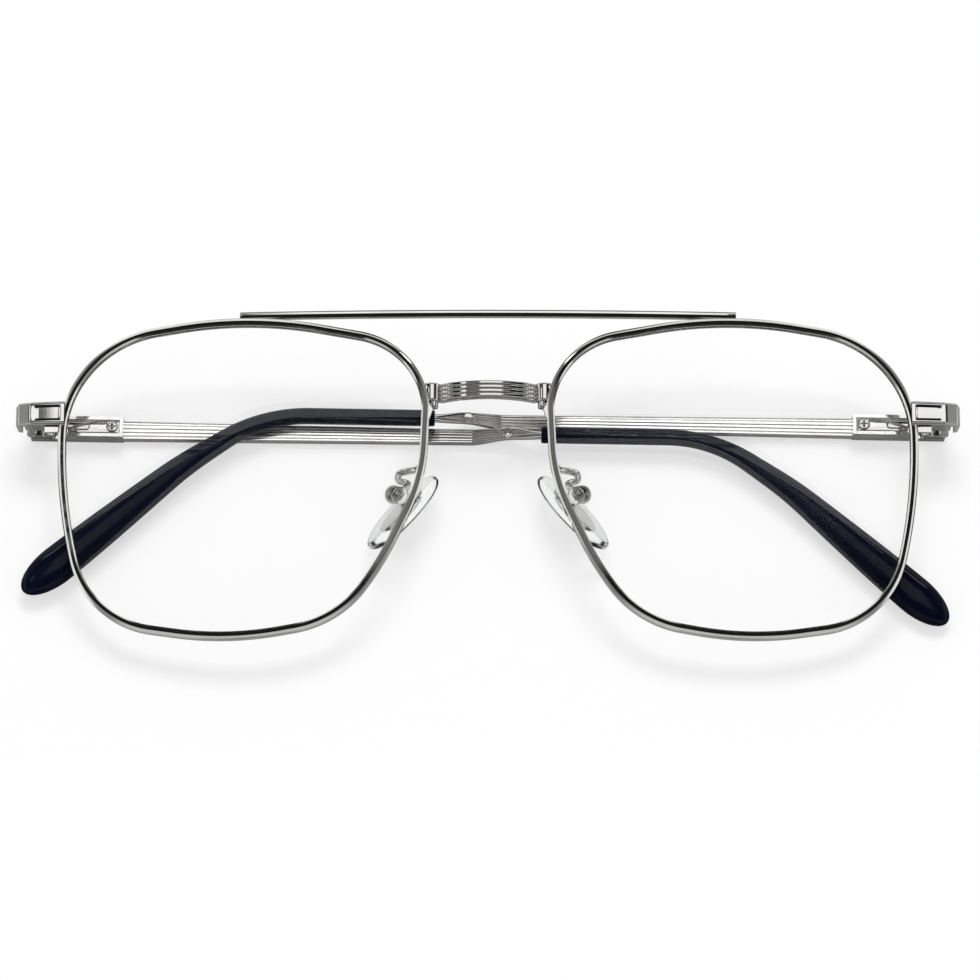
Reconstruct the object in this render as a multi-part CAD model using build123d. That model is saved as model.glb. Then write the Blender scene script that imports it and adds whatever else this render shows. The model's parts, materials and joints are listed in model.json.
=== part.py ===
from build123d import *
import math
import os

# Double bridge glasses, folded and lying on the backs of their temples.
# Everything is first modelled in the front's own frame: X to the right of the photograph,
# Y up along the lens plane, Z forward out of the lenses. The last section tilts it to lie on a table.
# A name that ends in _right is the side at high X. Depths are counted backward from the lens apex.

# Lens and rim
lens_width = 54.6
lens_height = 48.2
nose_half_gap = 9.6
lens_curve_radius = 160.0
lens_thickness = 1.7
lens_clearance = 0.05
wrap_angle_deg = 1.5
groove_depth = 0.4
groove_width = 0.9
rim_lip = 0.75
rim_depth = 1.9
rim_slit = 0.3

# Corners of the lens shape as shares of lens_width and lens_height, temporal side at high X,
# with each corner's radius as a share of lens_width, or of lens_height over its own share where that is less
outline_corner_shares = (
    (-0.0108, 0.5175),
    (0.5018, 0.4305),
    (0.5018, -0.0620),
    (0.4226, -0.4476),
    (0.0394, -0.5140),
    (-0.2640, -0.4527),
    (-0.3799, -0.2664),
    (-0.4904, -0.0058),
    (-0.5066, 0.4238),
)
radius_height_share = 0.883
outline_radius_shares = (1.227, 0.297, 1.460, 0.262, 0.880, 0.297, 0.820, 0.485, 0.216)

# Top bar
bar_overreach = 0.8
bar_height = 1.15
bar_depth = 1.3
bar_bow = 1.4
bar_rounding = 0.25
bar_seat = 0.05

# Bridge and its posts
bridge_span = 16.4
bridge_bow = 2.9
bridge_height = 2.55
bridge_thickness = 2.1
bridge_centre_y = 13.6
bridge_front_depth = 0.0
bridge_flutes = 3
flute_radius = 0.22
post_height = 2.8
post_depth = 2.2
post_overlap = 0.9
boss_radius = 0.7
boss_height = 1.1
strut_drop = 2.3
strut_width = 0.8

# End pieces
end_reach = 6.6
end_height = 3.65
end_thickness = 1.2
end_corner_radius = 1.2
end_rim_overlap = 0.9
end_border = 0.75
end_hollow = 0.2
end_centre_y = 10.15

# Closing blocks and their screw
block_width = 2.1
block_height = 1.7
block_depth = 1.9
block_drop = 1.0
closing_screw_radius = 0.4
closing_head_radius = 0.72
closing_head_height = 0.35

# Hinge
pivot_inset = 3.2
pivot_depth = 8.4
hinge_tilt_deg = 5.3
fold_offset_deg = 1.0
barrel_radius = 1.95
barrel_height = 3.7
middle_knuckle_height = 1.4
knuckle_gap = 0.05
pin_radius = 0.7
pin_clearance = 0.02
hinge_head_radius = 1.15
hinge_head_height = 0.4
fork_width = 2.4
running_gap = 0.15
stop_gap = 0.3
screw_slot_width = 0.28
screw_slot_depth = 0.2

# Temple: offsets are counted from the hinge pin, outward from the head
temple_face_offset = 3.3
temple_front_reach = 1.6
temple_thickness = 1.2
housing_start = 3.4
housing_end = 12.6
housing_height = 3.2
housing_inner_offset = 0.45
housing_wall = 0.5
housing_floor = 0.8
housing_front_wall = 0.8
housing_end_block = 2.9

# Sprung slider in the housing
slider_arm_thickness = 0.75
slider_rod_radius = 0.35
slider_rod_offset = 1.65
slider_head_radius = 0.58
slider_head_length = 0.5
slide_travel = 1.0
spring_radius = 0.52
spring_wire_radius = 0.11
spring_turns = 6
cover_thickness = 0.35
cover_clearance = 0.05
cover_screw_inset = 1.7
cover_screw_radius = 0.4
cover_head_radius = 0.88
cover_head_height = 0.3

# Fluted bar, spear and core wire
temple_height = 3.05
temple_end_height = 2.3
temple_flutes = 4
temple_flute_radius = 0.13
spear_start = 66.0
spear_first_length = 5.4
spear_second_length = 5.1
spear_middle_height = 1.8
spear_middle_thickness = 1.0
core_radius = 0.65
core_rise = -0.2
core_offset = 0.55
core_length = 36.0
rivet_radius = 0.78
rivet_pin_radius = 0.35
rivet_head = 0.25

# Dark tip
tip_bend_start = 102.6
tip_second_bend = 114.7
tip_end = 137.9
tip_first_angle_deg = 34.6
tip_second_angle_deg = 41.6
tip_first_radius = 22.0
tip_second_radius = 58.0
tip_thickness = 2.6
tip_height = 2.5
tip_bore_clearance = 0.03
tip_swell_start_share = 0.30
tip_cap_start_share = 0.955
tip_height_swell_share = 1.4
tip_thickness_swell_share = 0.30
tip_body_steps = 16
tip_cap_steps = 7
tip_cap_end_deg = 82.0

# Nose pads, in a frame of their own at the pad screw
pad_screw_x = 13.8
pad_screw_y = -1.95
pad_screw_depth = 4.6
pad_slope_deg = 40.0
pad_splay_deg = 35.0
pad_lean_deg = 7.5
pad_length = 15.2
pad_width = 7.0
pad_thickness = 2.3
pad_rounding = 0.9
pad_standoff = 1.6
pad_shift = 1.0
pad_box_radius = 1.4
pad_box_length = 2.5
pad_box_wall = 0.45
pad_slot = 1.2
tab_radius = 0.85
tab_thickness = 0.9
tab_width = 1.2
core_plate_length = 9.0
core_plate_width = 3.6
core_plate_thickness = 0.5
pad_screw_radius = 0.4
pad_head_radius = 0.75
pad_head_height = 0.35
arm_radius = 0.45
arm_bend_radius = 0.9
arm_foot_y = 3.95
arm_back_depth = 5.8
arm_loop_depth = 7.2
arm_loop_x = 13.7
arm_loop_y = 2.75
arm_turn_reach = 3.3

overrun = 1.0
rest_rounds = 8

lens_centre_x = lens_width / 2 + nose_half_gap
bar_length = 2 * (lens_centre_x + bar_overreach)
spear_middle = spear_start + spear_first_length
spear_end = spear_middle + spear_second_length


def block(x_low, x_high, y_low, y_high, z_low, z_high):
    size = (x_high - x_low, y_high - y_low, z_high - z_low)
    middle = ((x_low + x_high) / 2, (y_low + y_high) / 2, (z_low + z_high) / 2)
    return Pos(*middle) * Box(*size)


def rod_along_y(radius, y_low, y_high, x=0.0, z=0.0):
    return Pos(x, (y_low + y_high) / 2, z) * Rot(90, 0, 0) * Cylinder(radius, y_high - y_low)


def rod_along_x(radius, x_low, x_high, y=0.0, z=0.0):
    return Pos((x_low + x_high) / 2, y, z) * Rot(0, 90, 0) * Cylinder(radius, x_high - x_low)


def rod_along_z(radius, z_low, z_high, x=0.0, y=0.0):
    return Pos(x, y, (z_low + z_high) / 2) * Cylinder(radius, z_high - z_low)


def one(shape):
    """The shape as its own solids, so that a cut never leaves an empty wrapper."""
    solids = shape.solids()
    return solids[0] if len(solids) == 1 else Compound(children=list(solids))


# Lens shape, lens and rim, each in its lens's own frame

def outline(grow):
    corners = [(x * lens_width, y * lens_height) for x, y in outline_corner_shares]
    radius_scale = min(lens_width, lens_height / radius_height_share)
    radii = [share * radius_scale for share in outline_radius_shares]
    face = make_face(FilletPolyline(*corners, radius=radii, close=True))
    return offset(face, amount=grow) if grow else face


def ball(radius):
    return Pos(0, 0, -lens_curve_radius) * Rot(0, 90, 0) * Sphere(radius)


def curved_slab(face, front, back):
    """The part of an upright prism that lies between two lifts of the lens curve."""
    prism = extrude(face, amount=lens_width / 2, both=True)
    return prism & ball(lens_curve_radius + front) - ball(lens_curve_radius + back)


def sag(x, y):
    return (x * x + y * y) / (2 * lens_curve_radius)


half_rim = rim_depth / 2
outer_face = outline(rim_lip)
outer_box = outer_face.bounding_box()
rim_side_x = outer_box.max.X
rim_nose_x = -outer_box.min.X
rim_top_y = outer_box.max.Y
slit_y = end_centre_y - block_drop


def make_rim():
    ring = curved_slab(outer_face - outline(-groove_depth), half_rim, -half_rim)
    groove_face = outline(lens_clearance) - outline(-groove_depth - overrun)
    ring -= curved_slab(groove_face, groove_width / 2, -groove_width / 2)
    slit = block(rim_side_x - overrun * 3, rim_side_x + overrun, slit_y - rim_slit / 2,
                 slit_y + rim_slit / 2, -lens_width / 2, lens_width / 2)
    return ring - slit


def make_lens():
    body = curved_slab(outline(-groove_depth - lens_clearance), lens_thickness / 2,
                       -lens_thickness / 2)
    tongue_half = groove_width / 2 - lens_clearance
    return body + curved_slab(outline(0), tongue_half, -tongue_half)


lens_spot = Pos(lens_centre_x, 0, 0) * Rot(0, wrap_angle_deg, 0)
wrap_sine = math.sin(math.radians(wrap_angle_deg))
wrap_cosine = math.cos(math.radians(wrap_angle_deg))


def rim_place(x, y):
    """Place of a point of the right rim's middle, given in its lens's frame."""
    z = -sag(x, y)
    return (lens_centre_x + x * wrap_cosine + z * wrap_sine, y, z * wrap_cosine - x * wrap_sine)


rim_right = lens_spot * make_rim()
lens_right = lens_spot * make_lens()
keep_clear = lens_spot * extrude(outer_face, amount=lens_width / 2, both=True)

# Top bar, let a little into the tops of both rims

bar_radius = ((bar_length / 2) ** 2 + bar_bow ** 2) / (2 * bar_bow)
bar_sag = bar_radius - math.sqrt(bar_radius ** 2 - lens_centre_x ** 2)
bar_centre_y = rim_top_y - bar_seat + bar_height / 2
bar_z = rim_place(0, rim_top_y)[2] + bar_sag


def make_top_bar():
    low, high = -bar_height / 2, bar_height / 2
    hoop = rod_along_y(bar_radius + bar_depth / 2, low, high)
    hoop -= rod_along_y(bar_radius - bar_depth / 2, low - overrun, high + overrun)
    half = bar_length / 2
    strip = hoop & block(-half, half, low - overrun, high + overrun, 0, bar_radius + overrun * 2)
    long_edges = [edge for edge in strip.edges() if edge.length > half]
    return Pos(0, bar_centre_y, bar_z - bar_radius) * fillet(long_edges, bar_rounding)


top_bar = make_top_bar()
top_bar = top_bar - rim_right - mirror(rim_right, about=Plane.YZ)

# Bridge, a fluted strip bowed forward

bridge_radius = ((bridge_span / 2) ** 2 + bridge_bow ** 2) / (2 * bridge_bow)
bridge_half_angle = math.degrees(math.asin(bridge_span / 2 / bridge_radius))
bridge_axis_z = -bridge_front_depth - bridge_radius


def make_bridge():
    half = bridge_height / 2
    strip = Pos(bridge_radius - bridge_thickness / 2, 0) * Rectangle(bridge_thickness, bridge_height)
    pitch = bridge_height / (bridge_flutes + 1)
    for number in range(bridge_flutes):
        flute_y = -half + pitch * (number + 1)
        strip -= Pos(bridge_radius, flute_y) * Circle(flute_radius)
    spun = revolve(strip, axis=Axis.Y, revolution_arc=2 * bridge_half_angle)
    # The section starts in the XY plane, so it turns back to straddle the Z axis.
    return Pos(0, bridge_centre_y, bridge_axis_z) * Rot(0, -90 - bridge_half_angle, 0) * spun


bridge = make_bridge()
bridge_end_depth = bridge_front_depth + bridge_bow

# Post between the bridge and the rim, with its small boss and strut


def make_post():
    rim_x = rim_place(-rim_nose_x, bridge_centre_y)[0]
    front = -bridge_end_depth + bridge_thickness / 2
    post = block(bridge_span / 2 - post_overlap, rim_x + post_overlap,
                 bridge_centre_y - post_height / 2, bridge_centre_y + post_height / 2,
                 front - post_depth, front)
    boss_x = rim_x - boss_radius
    boss_z = front - post_depth / 2
    boss_top = bridge_centre_y - post_height / 2
    post += rod_along_y(boss_radius, boss_top - boss_height, boss_top, boss_x, boss_z)
    strut_top = boss_top - boss_height / 2
    strut_points = (
        (boss_x, strut_top),
        (rim_x + post_overlap, strut_top),
        (rim_x + post_overlap, strut_top - strut_drop),
        (boss_x + boss_radius, strut_top - strut_drop),
    )
    strut = extrude(make_face(Polyline(*strut_points, close=True)), amount=strut_width / 2, both=True)
    return post + Pos(0, 0, boss_z) * strut


post_right = one(make_post() - bridge - keep_clear)

# End piece, a strap that runs from the rim round the corner towards the hinge

rim_end_depth = -rim_place(rim_side_x, end_centre_y)[2]
end_back_depth = rim_end_depth - half_rim
end_front_depth = end_back_depth - end_thickness
end_rim_x = rim_place(rim_side_x, end_centre_y)[0]
end_inner_x = end_rim_x - end_rim_overlap
end_half_span = end_rim_x + end_reach
pivot_x = end_half_span - pivot_inset
end_side_depth = pivot_depth - temple_front_reach - stop_gap


def make_end_piece():
    side_x = end_half_span - end_thickness
    points = (
        (end_inner_x, -end_front_depth),
        (end_half_span, -end_front_depth),
        (end_half_span, -end_side_depth),
        (side_x, -end_side_depth),
        (side_x, -end_back_depth),
        (end_inner_x, -end_back_depth),
    )
    plan = make_face(Polyline(*points, close=True))
    # The plan is drawn in XY and stood up, so its Y becomes Z.
    strap = Pos(0, end_centre_y + end_height / 2, 0) * Rot(90, 0, 0) * extrude(plan, amount=end_height)
    corner = strap.edges().filter_by(Axis.Y).sort_by_distance((end_half_span, end_centre_y, -end_front_depth))
    strap = fillet(corner[0], end_corner_radius)
    inset = end_height / 2 - end_border
    hollow = block(end_inner_x + end_border, end_half_span - end_corner_radius - end_border / 2,
                   end_centre_y - inset, end_centre_y + inset,
                   -end_front_depth - end_hollow, -end_front_depth + overrun)
    side_hollow = block(end_half_span - end_hollow, end_half_span + overrun,
                        end_centre_y - inset, end_centre_y + inset,
                        -end_side_depth + end_border / 2,
                        -end_front_depth - end_corner_radius - end_border / 2)
    return strap - hollow - side_hollow


end_piece_right = one(make_end_piece() - rim_right)

# Closing blocks behind the end piece, above and below the slit in the rim

block_x = rim_place(rim_side_x, slit_y)[0]
block_z = rim_place(rim_side_x, slit_y)[2]
screw_x = block_x + block_width / 2
screw_z = block_z - half_rim + block_depth / 2 + (half_rim - block_depth / 2) / 2
block_top_y = slit_y + rim_slit / 2 + block_height
block_bottom_y = slit_y - rim_slit / 2 - block_height


def make_block(y_low, y_high):
    body = block(block_x - rim_lip, block_x + block_width, y_low, y_high,
                 screw_z - block_depth / 2, screw_z + block_depth / 2)
    hole = rod_along_y(closing_screw_radius, y_low - overrun, y_high + overrun, screw_x, screw_z)
    return body - hole - keep_clear - end_piece_right


block_upper_right = one(make_block(slit_y + rim_slit / 2, block_top_y))
block_lower_right = one(make_block(block_bottom_y, slit_y - rim_slit / 2))


def slotted_head(radius, height):
    """A screw head standing on Z = 0, with a straight slot."""
    head = rod_along_z(radius, 0, height)
    return head - block(-radius, radius, -screw_slot_width / 2, screw_slot_width / 2,
                        height - screw_slot_depth, height + overrun)


closing_screw_right = (
    rod_along_y(closing_screw_radius, block_bottom_y, block_top_y, screw_x, screw_z)
    + Pos(screw_x, block_bottom_y, screw_z) * Rot(90, 0, 0)
    * slotted_head(closing_head_radius, closing_head_height)
)

# Hinge, in a frame at the pin with X along the folded left temple and Y along the pin

barrel_half = barrel_height / 2
middle_half = middle_knuckle_height / 2
fork_back = barrel_radius + running_gap
fork_front = pivot_depth - end_back_depth + end_thickness / 4


def make_fork():
    ear_low = middle_half + knuckle_gap
    fork = block(-barrel_radius, fork_width / 2, -barrel_half, barrel_half, fork_back, fork_front)
    for low, high in ((ear_low, barrel_half), (-barrel_half, -ear_low)):
        fork += rod_along_y(barrel_radius, low, high)
        fork += block(-barrel_radius, fork_width / 2, low, high, 0, fork_back + knuckle_gap)
    return fork - rod_along_y(pin_radius, -barrel_height, barrel_height)


def make_hinge_screw():
    pin = rod_along_y(pin_radius, -barrel_half, barrel_half)
    head = Pos(0, -barrel_half, 0) * Rot(90, 0, 0) * slotted_head(hinge_head_radius, hinge_head_height)
    return pin + head


def make_slider():
    arm_back = -barrel_radius
    knuckle = rod_along_y(barrel_radius, -middle_half, middle_half)
    arm = block(0, housing_start - running_gap, -middle_half, middle_half,
                arm_back, arm_back + slider_arm_thickness)
    rod_end = housing_end - housing_end_block - knuckle_gap - slider_head_length / 2
    rod = rod_along_x(slider_rod_radius, barrel_radius / 2, rod_end, 0, -slider_rod_offset)
    head = rod_along_x(slider_head_radius, rod_end - slider_head_length, rod_end, 0, -slider_rod_offset)
    hole = rod_along_y(pin_radius + pin_clearance, -barrel_height, barrel_height)
    return knuckle + arm + rod + head - hole


def make_spring():
    start = housing_start + housing_front_wall + knuckle_gap
    rod_end = housing_end - housing_end_block - knuckle_gap - slider_head_length / 2
    stop = rod_end - slider_head_length - knuckle_gap
    length = stop - start - 2 * spring_wire_radius
    helix = Helix(pitch=length / spring_turns, height=length, radius=spring_radius)
    wire = Plane(origin=helix @ 0, z_dir=helix % 0) * Circle(spring_wire_radius)
    coil = sweep(wire, path=helix, is_frenet=True)
    return Pos(start + spring_wire_radius, 0, -slider_rod_offset) * Rot(0, 90, 0) * coil


# Temple housing: an open channel whose floor is the temple's outer face

channel_half = housing_height / 2 - housing_wall
cover_top = -housing_inner_offset - cover_clearance * 2
cover_floor = cover_top - cover_thickness
block_start = housing_end - housing_end_block
cover_screw_x = housing_end - cover_screw_inset


def make_housing():
    half = housing_height / 2
    body = block(housing_start, housing_end, -half, half, -temple_face_offset, -housing_inner_offset)
    body += block(-temple_front_reach, housing_start + overrun, -half, half,
                  -temple_face_offset, -temple_face_offset + temple_thickness)
    body -= block(housing_start + housing_front_wall, block_start, -channel_half, channel_half,
                  -temple_face_offset + housing_floor, -housing_inner_offset + overrun)
    body -= block(block_start - overrun, housing_end - housing_wall, -channel_half, channel_half,
                  cover_floor, -housing_inner_offset + overrun)
    body -= block(housing_start - overrun, housing_start + housing_front_wall + overrun,
                  -channel_half, channel_half, cover_floor, -housing_inner_offset + overrun)
    body -= rod_along_x(slider_rod_radius + pin_clearance, housing_start - overrun,
                        housing_start + housing_front_wall + overrun, 0, -slider_rod_offset)
    body -= rod_along_z(cover_screw_radius, -temple_face_offset + housing_floor, overrun, cover_screw_x)
    return body


def make_cover():
    cover_half = channel_half - cover_clearance
    cover_end = housing_end - housing_wall - cover_clearance
    round_x = housing_start + housing_front_wall + cover_half - running_gap
    cover = block(round_x, cover_end, -cover_half, cover_half, cover_floor, cover_top)
    cover += rod_along_z(cover_half, cover_floor, cover_top, round_x)
    return cover - rod_along_z(cover_screw_radius, -temple_face_offset, overrun, cover_screw_x)


def make_cover_screw():
    shank = rod_along_z(cover_screw_radius, -temple_face_offset + housing_floor, cover_top, cover_screw_x)
    head = rod_along_z(cover_head_radius, cover_top, cover_top + cover_head_height, cover_screw_x)
    reach = cover_head_radius - screw_slot_width
    for along, across in ((reach, screw_slot_width / 2), (screw_slot_width / 2, reach)):
        head -= block(cover_screw_x - along, cover_screw_x + along, -across, across,
                      cover_top + cover_head_height - screw_slot_depth, cover_top + overrun)
    return shank + head


# Temple: fluted bar, spear and core wire in one piece

temple_middle = -temple_face_offset + temple_thickness / 2
tip_drop = (tip_second_bend - tip_bend_start) * math.tan(math.radians(tip_first_angle_deg))
tip_last_drop = (tip_end - tip_second_bend) * math.tan(math.radians(tip_second_angle_deg))
tip_points = (
    (spear_end, core_rise, -core_offset),
    (tip_bend_start, core_rise, -core_offset),
    (tip_second_bend, core_rise - tip_drop, -core_offset),
    (tip_end, core_rise - tip_drop - tip_last_drop, -core_offset),
)
tip_path = FilletPolyline(*tip_points, radius=(tip_first_radius, tip_second_radius))


def spear_section(x, y, z, height, thickness):
    plane = Plane(origin=(x, y, z), x_dir=(0, 0, 1), z_dir=(1, 0, 0))
    corner = min(height, thickness) / 2 * 0.98
    return plane * RectangleRounded(thickness, height, corner)


def make_ribbed_length():
    """The bar from the housing to the spear, lower at its far end, with flutes that draw together."""
    start_half, end_half = temple_height / 2, temple_end_height / 2
    corners = (
        (housing_end, -start_half),
        (spear_start, -end_half),
        (spear_start, end_half),
        (housing_end, start_half),
    )
    face = Pos(0, 0, temple_middle) * make_face(Polyline(*corners, close=True))
    bar = extrude(face, amount=temple_thickness / 2, both=True)
    length = spear_start - housing_end
    for number in range(temple_flutes):
        share = 2 * (number + 1) / (temple_flutes + 1) - 1
        slope = math.atan2(share * (end_half - start_half), length)
        middle_y = share * (start_half + end_half) / 2
        reach = length / math.cos(slope)
        for side in (-1, 1):
            flute = rod_along_x(temple_flute_radius, -reach / 2 - overrun, reach / 2)
            spot = Pos((housing_end + spear_start) / 2, middle_y, temple_middle + side * temple_thickness / 2)
            bar -= spot * Rot(0, 0, math.degrees(slope)) * flute
    return bar


def make_temple_bar():
    bar = make_ribbed_length()
    middle_share = (spear_middle - spear_start) / (spear_end - spear_start)
    middle_y = (temple_end_height - spear_middle_height) / 2
    middle_z = temple_middle + (-core_offset - temple_middle) * middle_share
    spear = loft([
        spear_section(spear_start, 0, temple_middle, temple_end_height, temple_thickness),
        spear_section(spear_middle, middle_y, middle_z, spear_middle_height, spear_middle_thickness),
        spear_section(spear_end, core_rise, -core_offset, core_radius * 2, core_radius * 2),
    ])
    core_path = tip_path.trim(0, core_length / tip_path.length)
    core = sweep(Plane(origin=core_path @ 0, z_dir=core_path % 0) * Circle(core_radius), path=core_path)
    return bar + spear + core


def make_rivet():
    middle_share = (spear_middle - spear_start) / (spear_end - spear_start)
    y = (temple_end_height - spear_middle_height) / 2
    z = temple_middle + (-core_offset - temple_middle) * middle_share
    half = spear_middle_thickness / 2
    slope = math.degrees(math.atan2(-core_offset - temple_middle, spear_end - spear_start))
    rivet = rod_along_z(rivet_pin_radius, -half, half)
    rivet += rod_along_z(rivet_radius, half - rivet_head / 2, half + rivet_head)
    rivet += rod_along_z(rivet_radius, -half - rivet_head, -half + rivet_head / 2)
    return Pos(spear_middle, y, z) * Rot(0, -slope, 0) * rivet


def smooth(value):
    held = min(max(value, 0), 1)
    return held * held * (3 - 2 * held)


def tip_stations():
    """Places along the tip as shares of its path, and how far the rounded end narrows there."""
    for step in range(tip_body_steps):
        yield tip_cap_start_share * step / tip_body_steps, 1
    for step in range(tip_cap_steps + 1):
        angle = math.radians(tip_cap_end_deg * step / tip_cap_steps)
        yield tip_cap_start_share + (1 - tip_cap_start_share) * math.sin(angle), math.cos(angle)


def make_tip():
    sections = []
    for along, rounding in tip_stations():
        swell = smooth((along - tip_swell_start_share) / (tip_cap_start_share - tip_swell_start_share))
        tall = tip_height / 2 * (1 + tip_height_swell_share * swell) * rounding
        thick = tip_thickness / 2 * (1 + tip_thickness_swell_share * swell) * rounding
        plane = Plane(origin=tip_path @ along, x_dir=(0, 0, 1), z_dir=tip_path % along)
        sections.append(plane * Ellipse(thick, tall))
    sleeve = loft(sections, ruled=True)
    bore_path = tip_path.trim(0, (core_length + tip_bore_clearance) / tip_path.length)
    bore_start = Plane(origin=bore_path @ 0, z_dir=bore_path % 0)
    return sleeve - sweep(bore_start * Circle(core_radius + tip_bore_clearance), path=bore_path)


rivet = make_rivet()
temple_bar = make_temple_bar() - rivet
temple_pieces = {
    "hinge_slider": make_slider(),
    "hinge_spring": make_spring(),
    "temple_housing": make_housing(),
    "slider_cover": make_cover(),
    "cover_screw": make_cover_screw(),
    "temple_bar": temple_bar,
    "temple_rivet": rivet,
    "temple_tip": make_tip(),
}

# Nose pad: X runs down the pad, Y to the front along the pad screw, Z towards the nose


def make_pad_box():
    half = pad_box_length / 2
    body = rod_along_y(pad_box_radius, -half, half)
    body -= block(-pad_box_radius, pad_box_radius, -pad_slot / 2, pad_slot / 2,
                  pad_box_wall - pad_box_radius, pad_box_radius)
    return body - rod_along_y(pad_screw_radius, -half - overrun, half + overrun)


def make_pad_screw():
    half = pad_box_length / 2
    shank = rod_along_y(pad_screw_radius, -half, half)
    return shank + Pos(0, half, 0) * Rot(-90, 0, 0) * slotted_head(pad_head_radius, pad_head_height)


plate_low = pad_standoff + (pad_thickness - core_plate_thickness) / 2


def make_pad_core():
    core = rod_along_y(tab_radius, -tab_thickness / 2, tab_thickness / 2)
    core += block(-tab_width / 2, tab_width / 2, -tab_thickness / 2, tab_thickness / 2,
                  0, plate_low + core_plate_thickness / 2)
    plate = extrude(Ellipse(core_plate_length / 2, core_plate_width / 2), amount=core_plate_thickness)
    core += Pos(pad_shift, 0, plate_low) * plate
    return core - rod_along_y(pad_screw_radius + pin_clearance, -tab_thickness, tab_thickness)


def make_nose_pad(core):
    pad = extrude(Ellipse(pad_length / 2, pad_width / 2), amount=pad_thickness)
    pad = fillet(pad.edges(), pad_rounding)
    return Pos(pad_shift, 0, pad_standoff) * pad - core


# Frame of the right pad: its Z axis points to the nose and a little down, its Y axis forward.
slope = math.radians(pad_slope_deg)
lean = math.radians(pad_lean_deg)
pad_long_direction = Vector(
    math.sin(slope) * math.cos(lean), -math.cos(slope) * math.cos(lean), math.sin(lean))
pad_nose_direction = Vector(-math.cos(slope), -math.sin(slope), 0)
pad_plane = Plane(
    origin=(pad_screw_x, pad_screw_y, -pad_screw_depth),
    x_dir=pad_long_direction,
    z_dir=pad_nose_direction,
)
pad_spot = pad_plane.location * Rot(pad_splay_deg, 0, 0)
pad_core = make_pad_core()
pad_box = make_pad_box()
arm_end = pad_spot * Pos(0, 0, -pad_box_radius + pad_box_wall / 2)
arm_turn = pad_spot * Pos(0, 0, -arm_turn_reach)
arm_foot = rim_place(-rim_nose_x + rim_lip / 2, arm_foot_y)
arm_points = (
    (arm_foot[0], arm_foot_y, arm_foot[2] - half_rim / 2),
    (arm_foot[0], arm_foot_y, -arm_back_depth),
    (arm_loop_x, arm_loop_y, -arm_loop_depth),
    tuple(arm_turn.position),
    tuple(arm_end.position),
)
arm_path = FilletPolyline(*arm_points, radius=arm_bend_radius)
arm_section = Plane(origin=arm_path @ 0, z_dir=arm_path % 0) * Circle(arm_radius)
pad_box_right = pad_spot * pad_box
pad_arm_right = one(sweep(arm_section, path=arm_path) - rim_right - pad_box_right)

# Pieces modelled at the right, and their mirror images at the left

pieces = {"top_bar": top_bar, "bridge": bridge}
right_pieces = {
    "rim": rim_right,
    "lens": lens_right,
    "bridge_post": post_right,
    "end_piece": end_piece_right,
    "closing_block_upper": block_upper_right,
    "closing_block_lower": block_lower_right,
    "closing_screw": closing_screw_right,
    "pad_arm": pad_arm_right,
    "pad_box": pad_box_right,
    "pad_screw": pad_spot * make_pad_screw(),
    "pad_core": pad_spot * pad_core,
    "nose_pad": pad_spot * make_nose_pad(pad_core),
}
for name, shape in right_pieces.items():
    pieces[name + "_right"] = shape
    pieces[name + "_left"] = mirror(shape, about=Plane.YZ)

# Hinges lean back at the top, and both turn the same small way, so one temple folds above the other.

pin_turn = Rot(0, 0, -fold_offset_deg) * Rot(-hinge_tilt_deg, 0, 0)
left_hinge = Pos(-pivot_x, end_centre_y, -pivot_depth) * pin_turn
right_hinge = Pos(pivot_x, end_centre_y, -pivot_depth) * pin_turn
hinge_pieces = {"hinge_fork": make_fork(), "hinge_screw": make_hinge_screw()}
for name, shape in {**hinge_pieces, **temple_pieces}.items():
    pieces[name + "_left"] = left_hinge * shape
    pieces[name + "_right"] = right_hinge * mirror(shape, about=Plane.YZ)
for side in ("left", "right"):
    pieces["hinge_fork_" + side] = one(pieces["hinge_fork_" + side] - pieces["end_piece_" + side])

# Lay the glasses down on the backs of the temples and on whatever reaches lowest in front of them



def lowest(names, tilt_deg):
    return min((Rot(tilt_deg, 0, 0) * pieces[name]).bounding_box().min.Z for name in names)


back_names = [name for name in pieces if name.startswith(("temple_housing", "temple_bar"))]
front_names = [name for name in pieces if name.startswith(("temple_tip", "rim", "nose_pad"))]
rest_reach = lens_height / 2
lying_tilt_deg = hinge_tilt_deg
for settling in range(rest_rounds):
    uneven = lowest(front_names, lying_tilt_deg) - lowest(back_names, lying_tilt_deg)
    lying_tilt_deg += math.degrees(math.atan(uneven / rest_reach))
laid = {name: Rot(lying_tilt_deg, 0, 0) * shape for name, shape in pieces.items()}
whole = Compound(children=[one(shape) for shape in laid.values()]).bounding_box()
settle = Pos(-(whole.min.X + whole.max.X) / 2, -(whole.min.Y + whole.max.Y) / 2, -whole.min.Z)

os.makedirs("parts", exist_ok=True)
for name, shape in laid.items():
    export_step(one(settle * shape), "parts/" + name + ".step")
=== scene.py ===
import json
from math import asin, atan2, ceil, copysign, cos, pi, radians, sin, sqrt, tan

import bmesh
import bpy
from mathutils import Matrix, Vector


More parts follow.
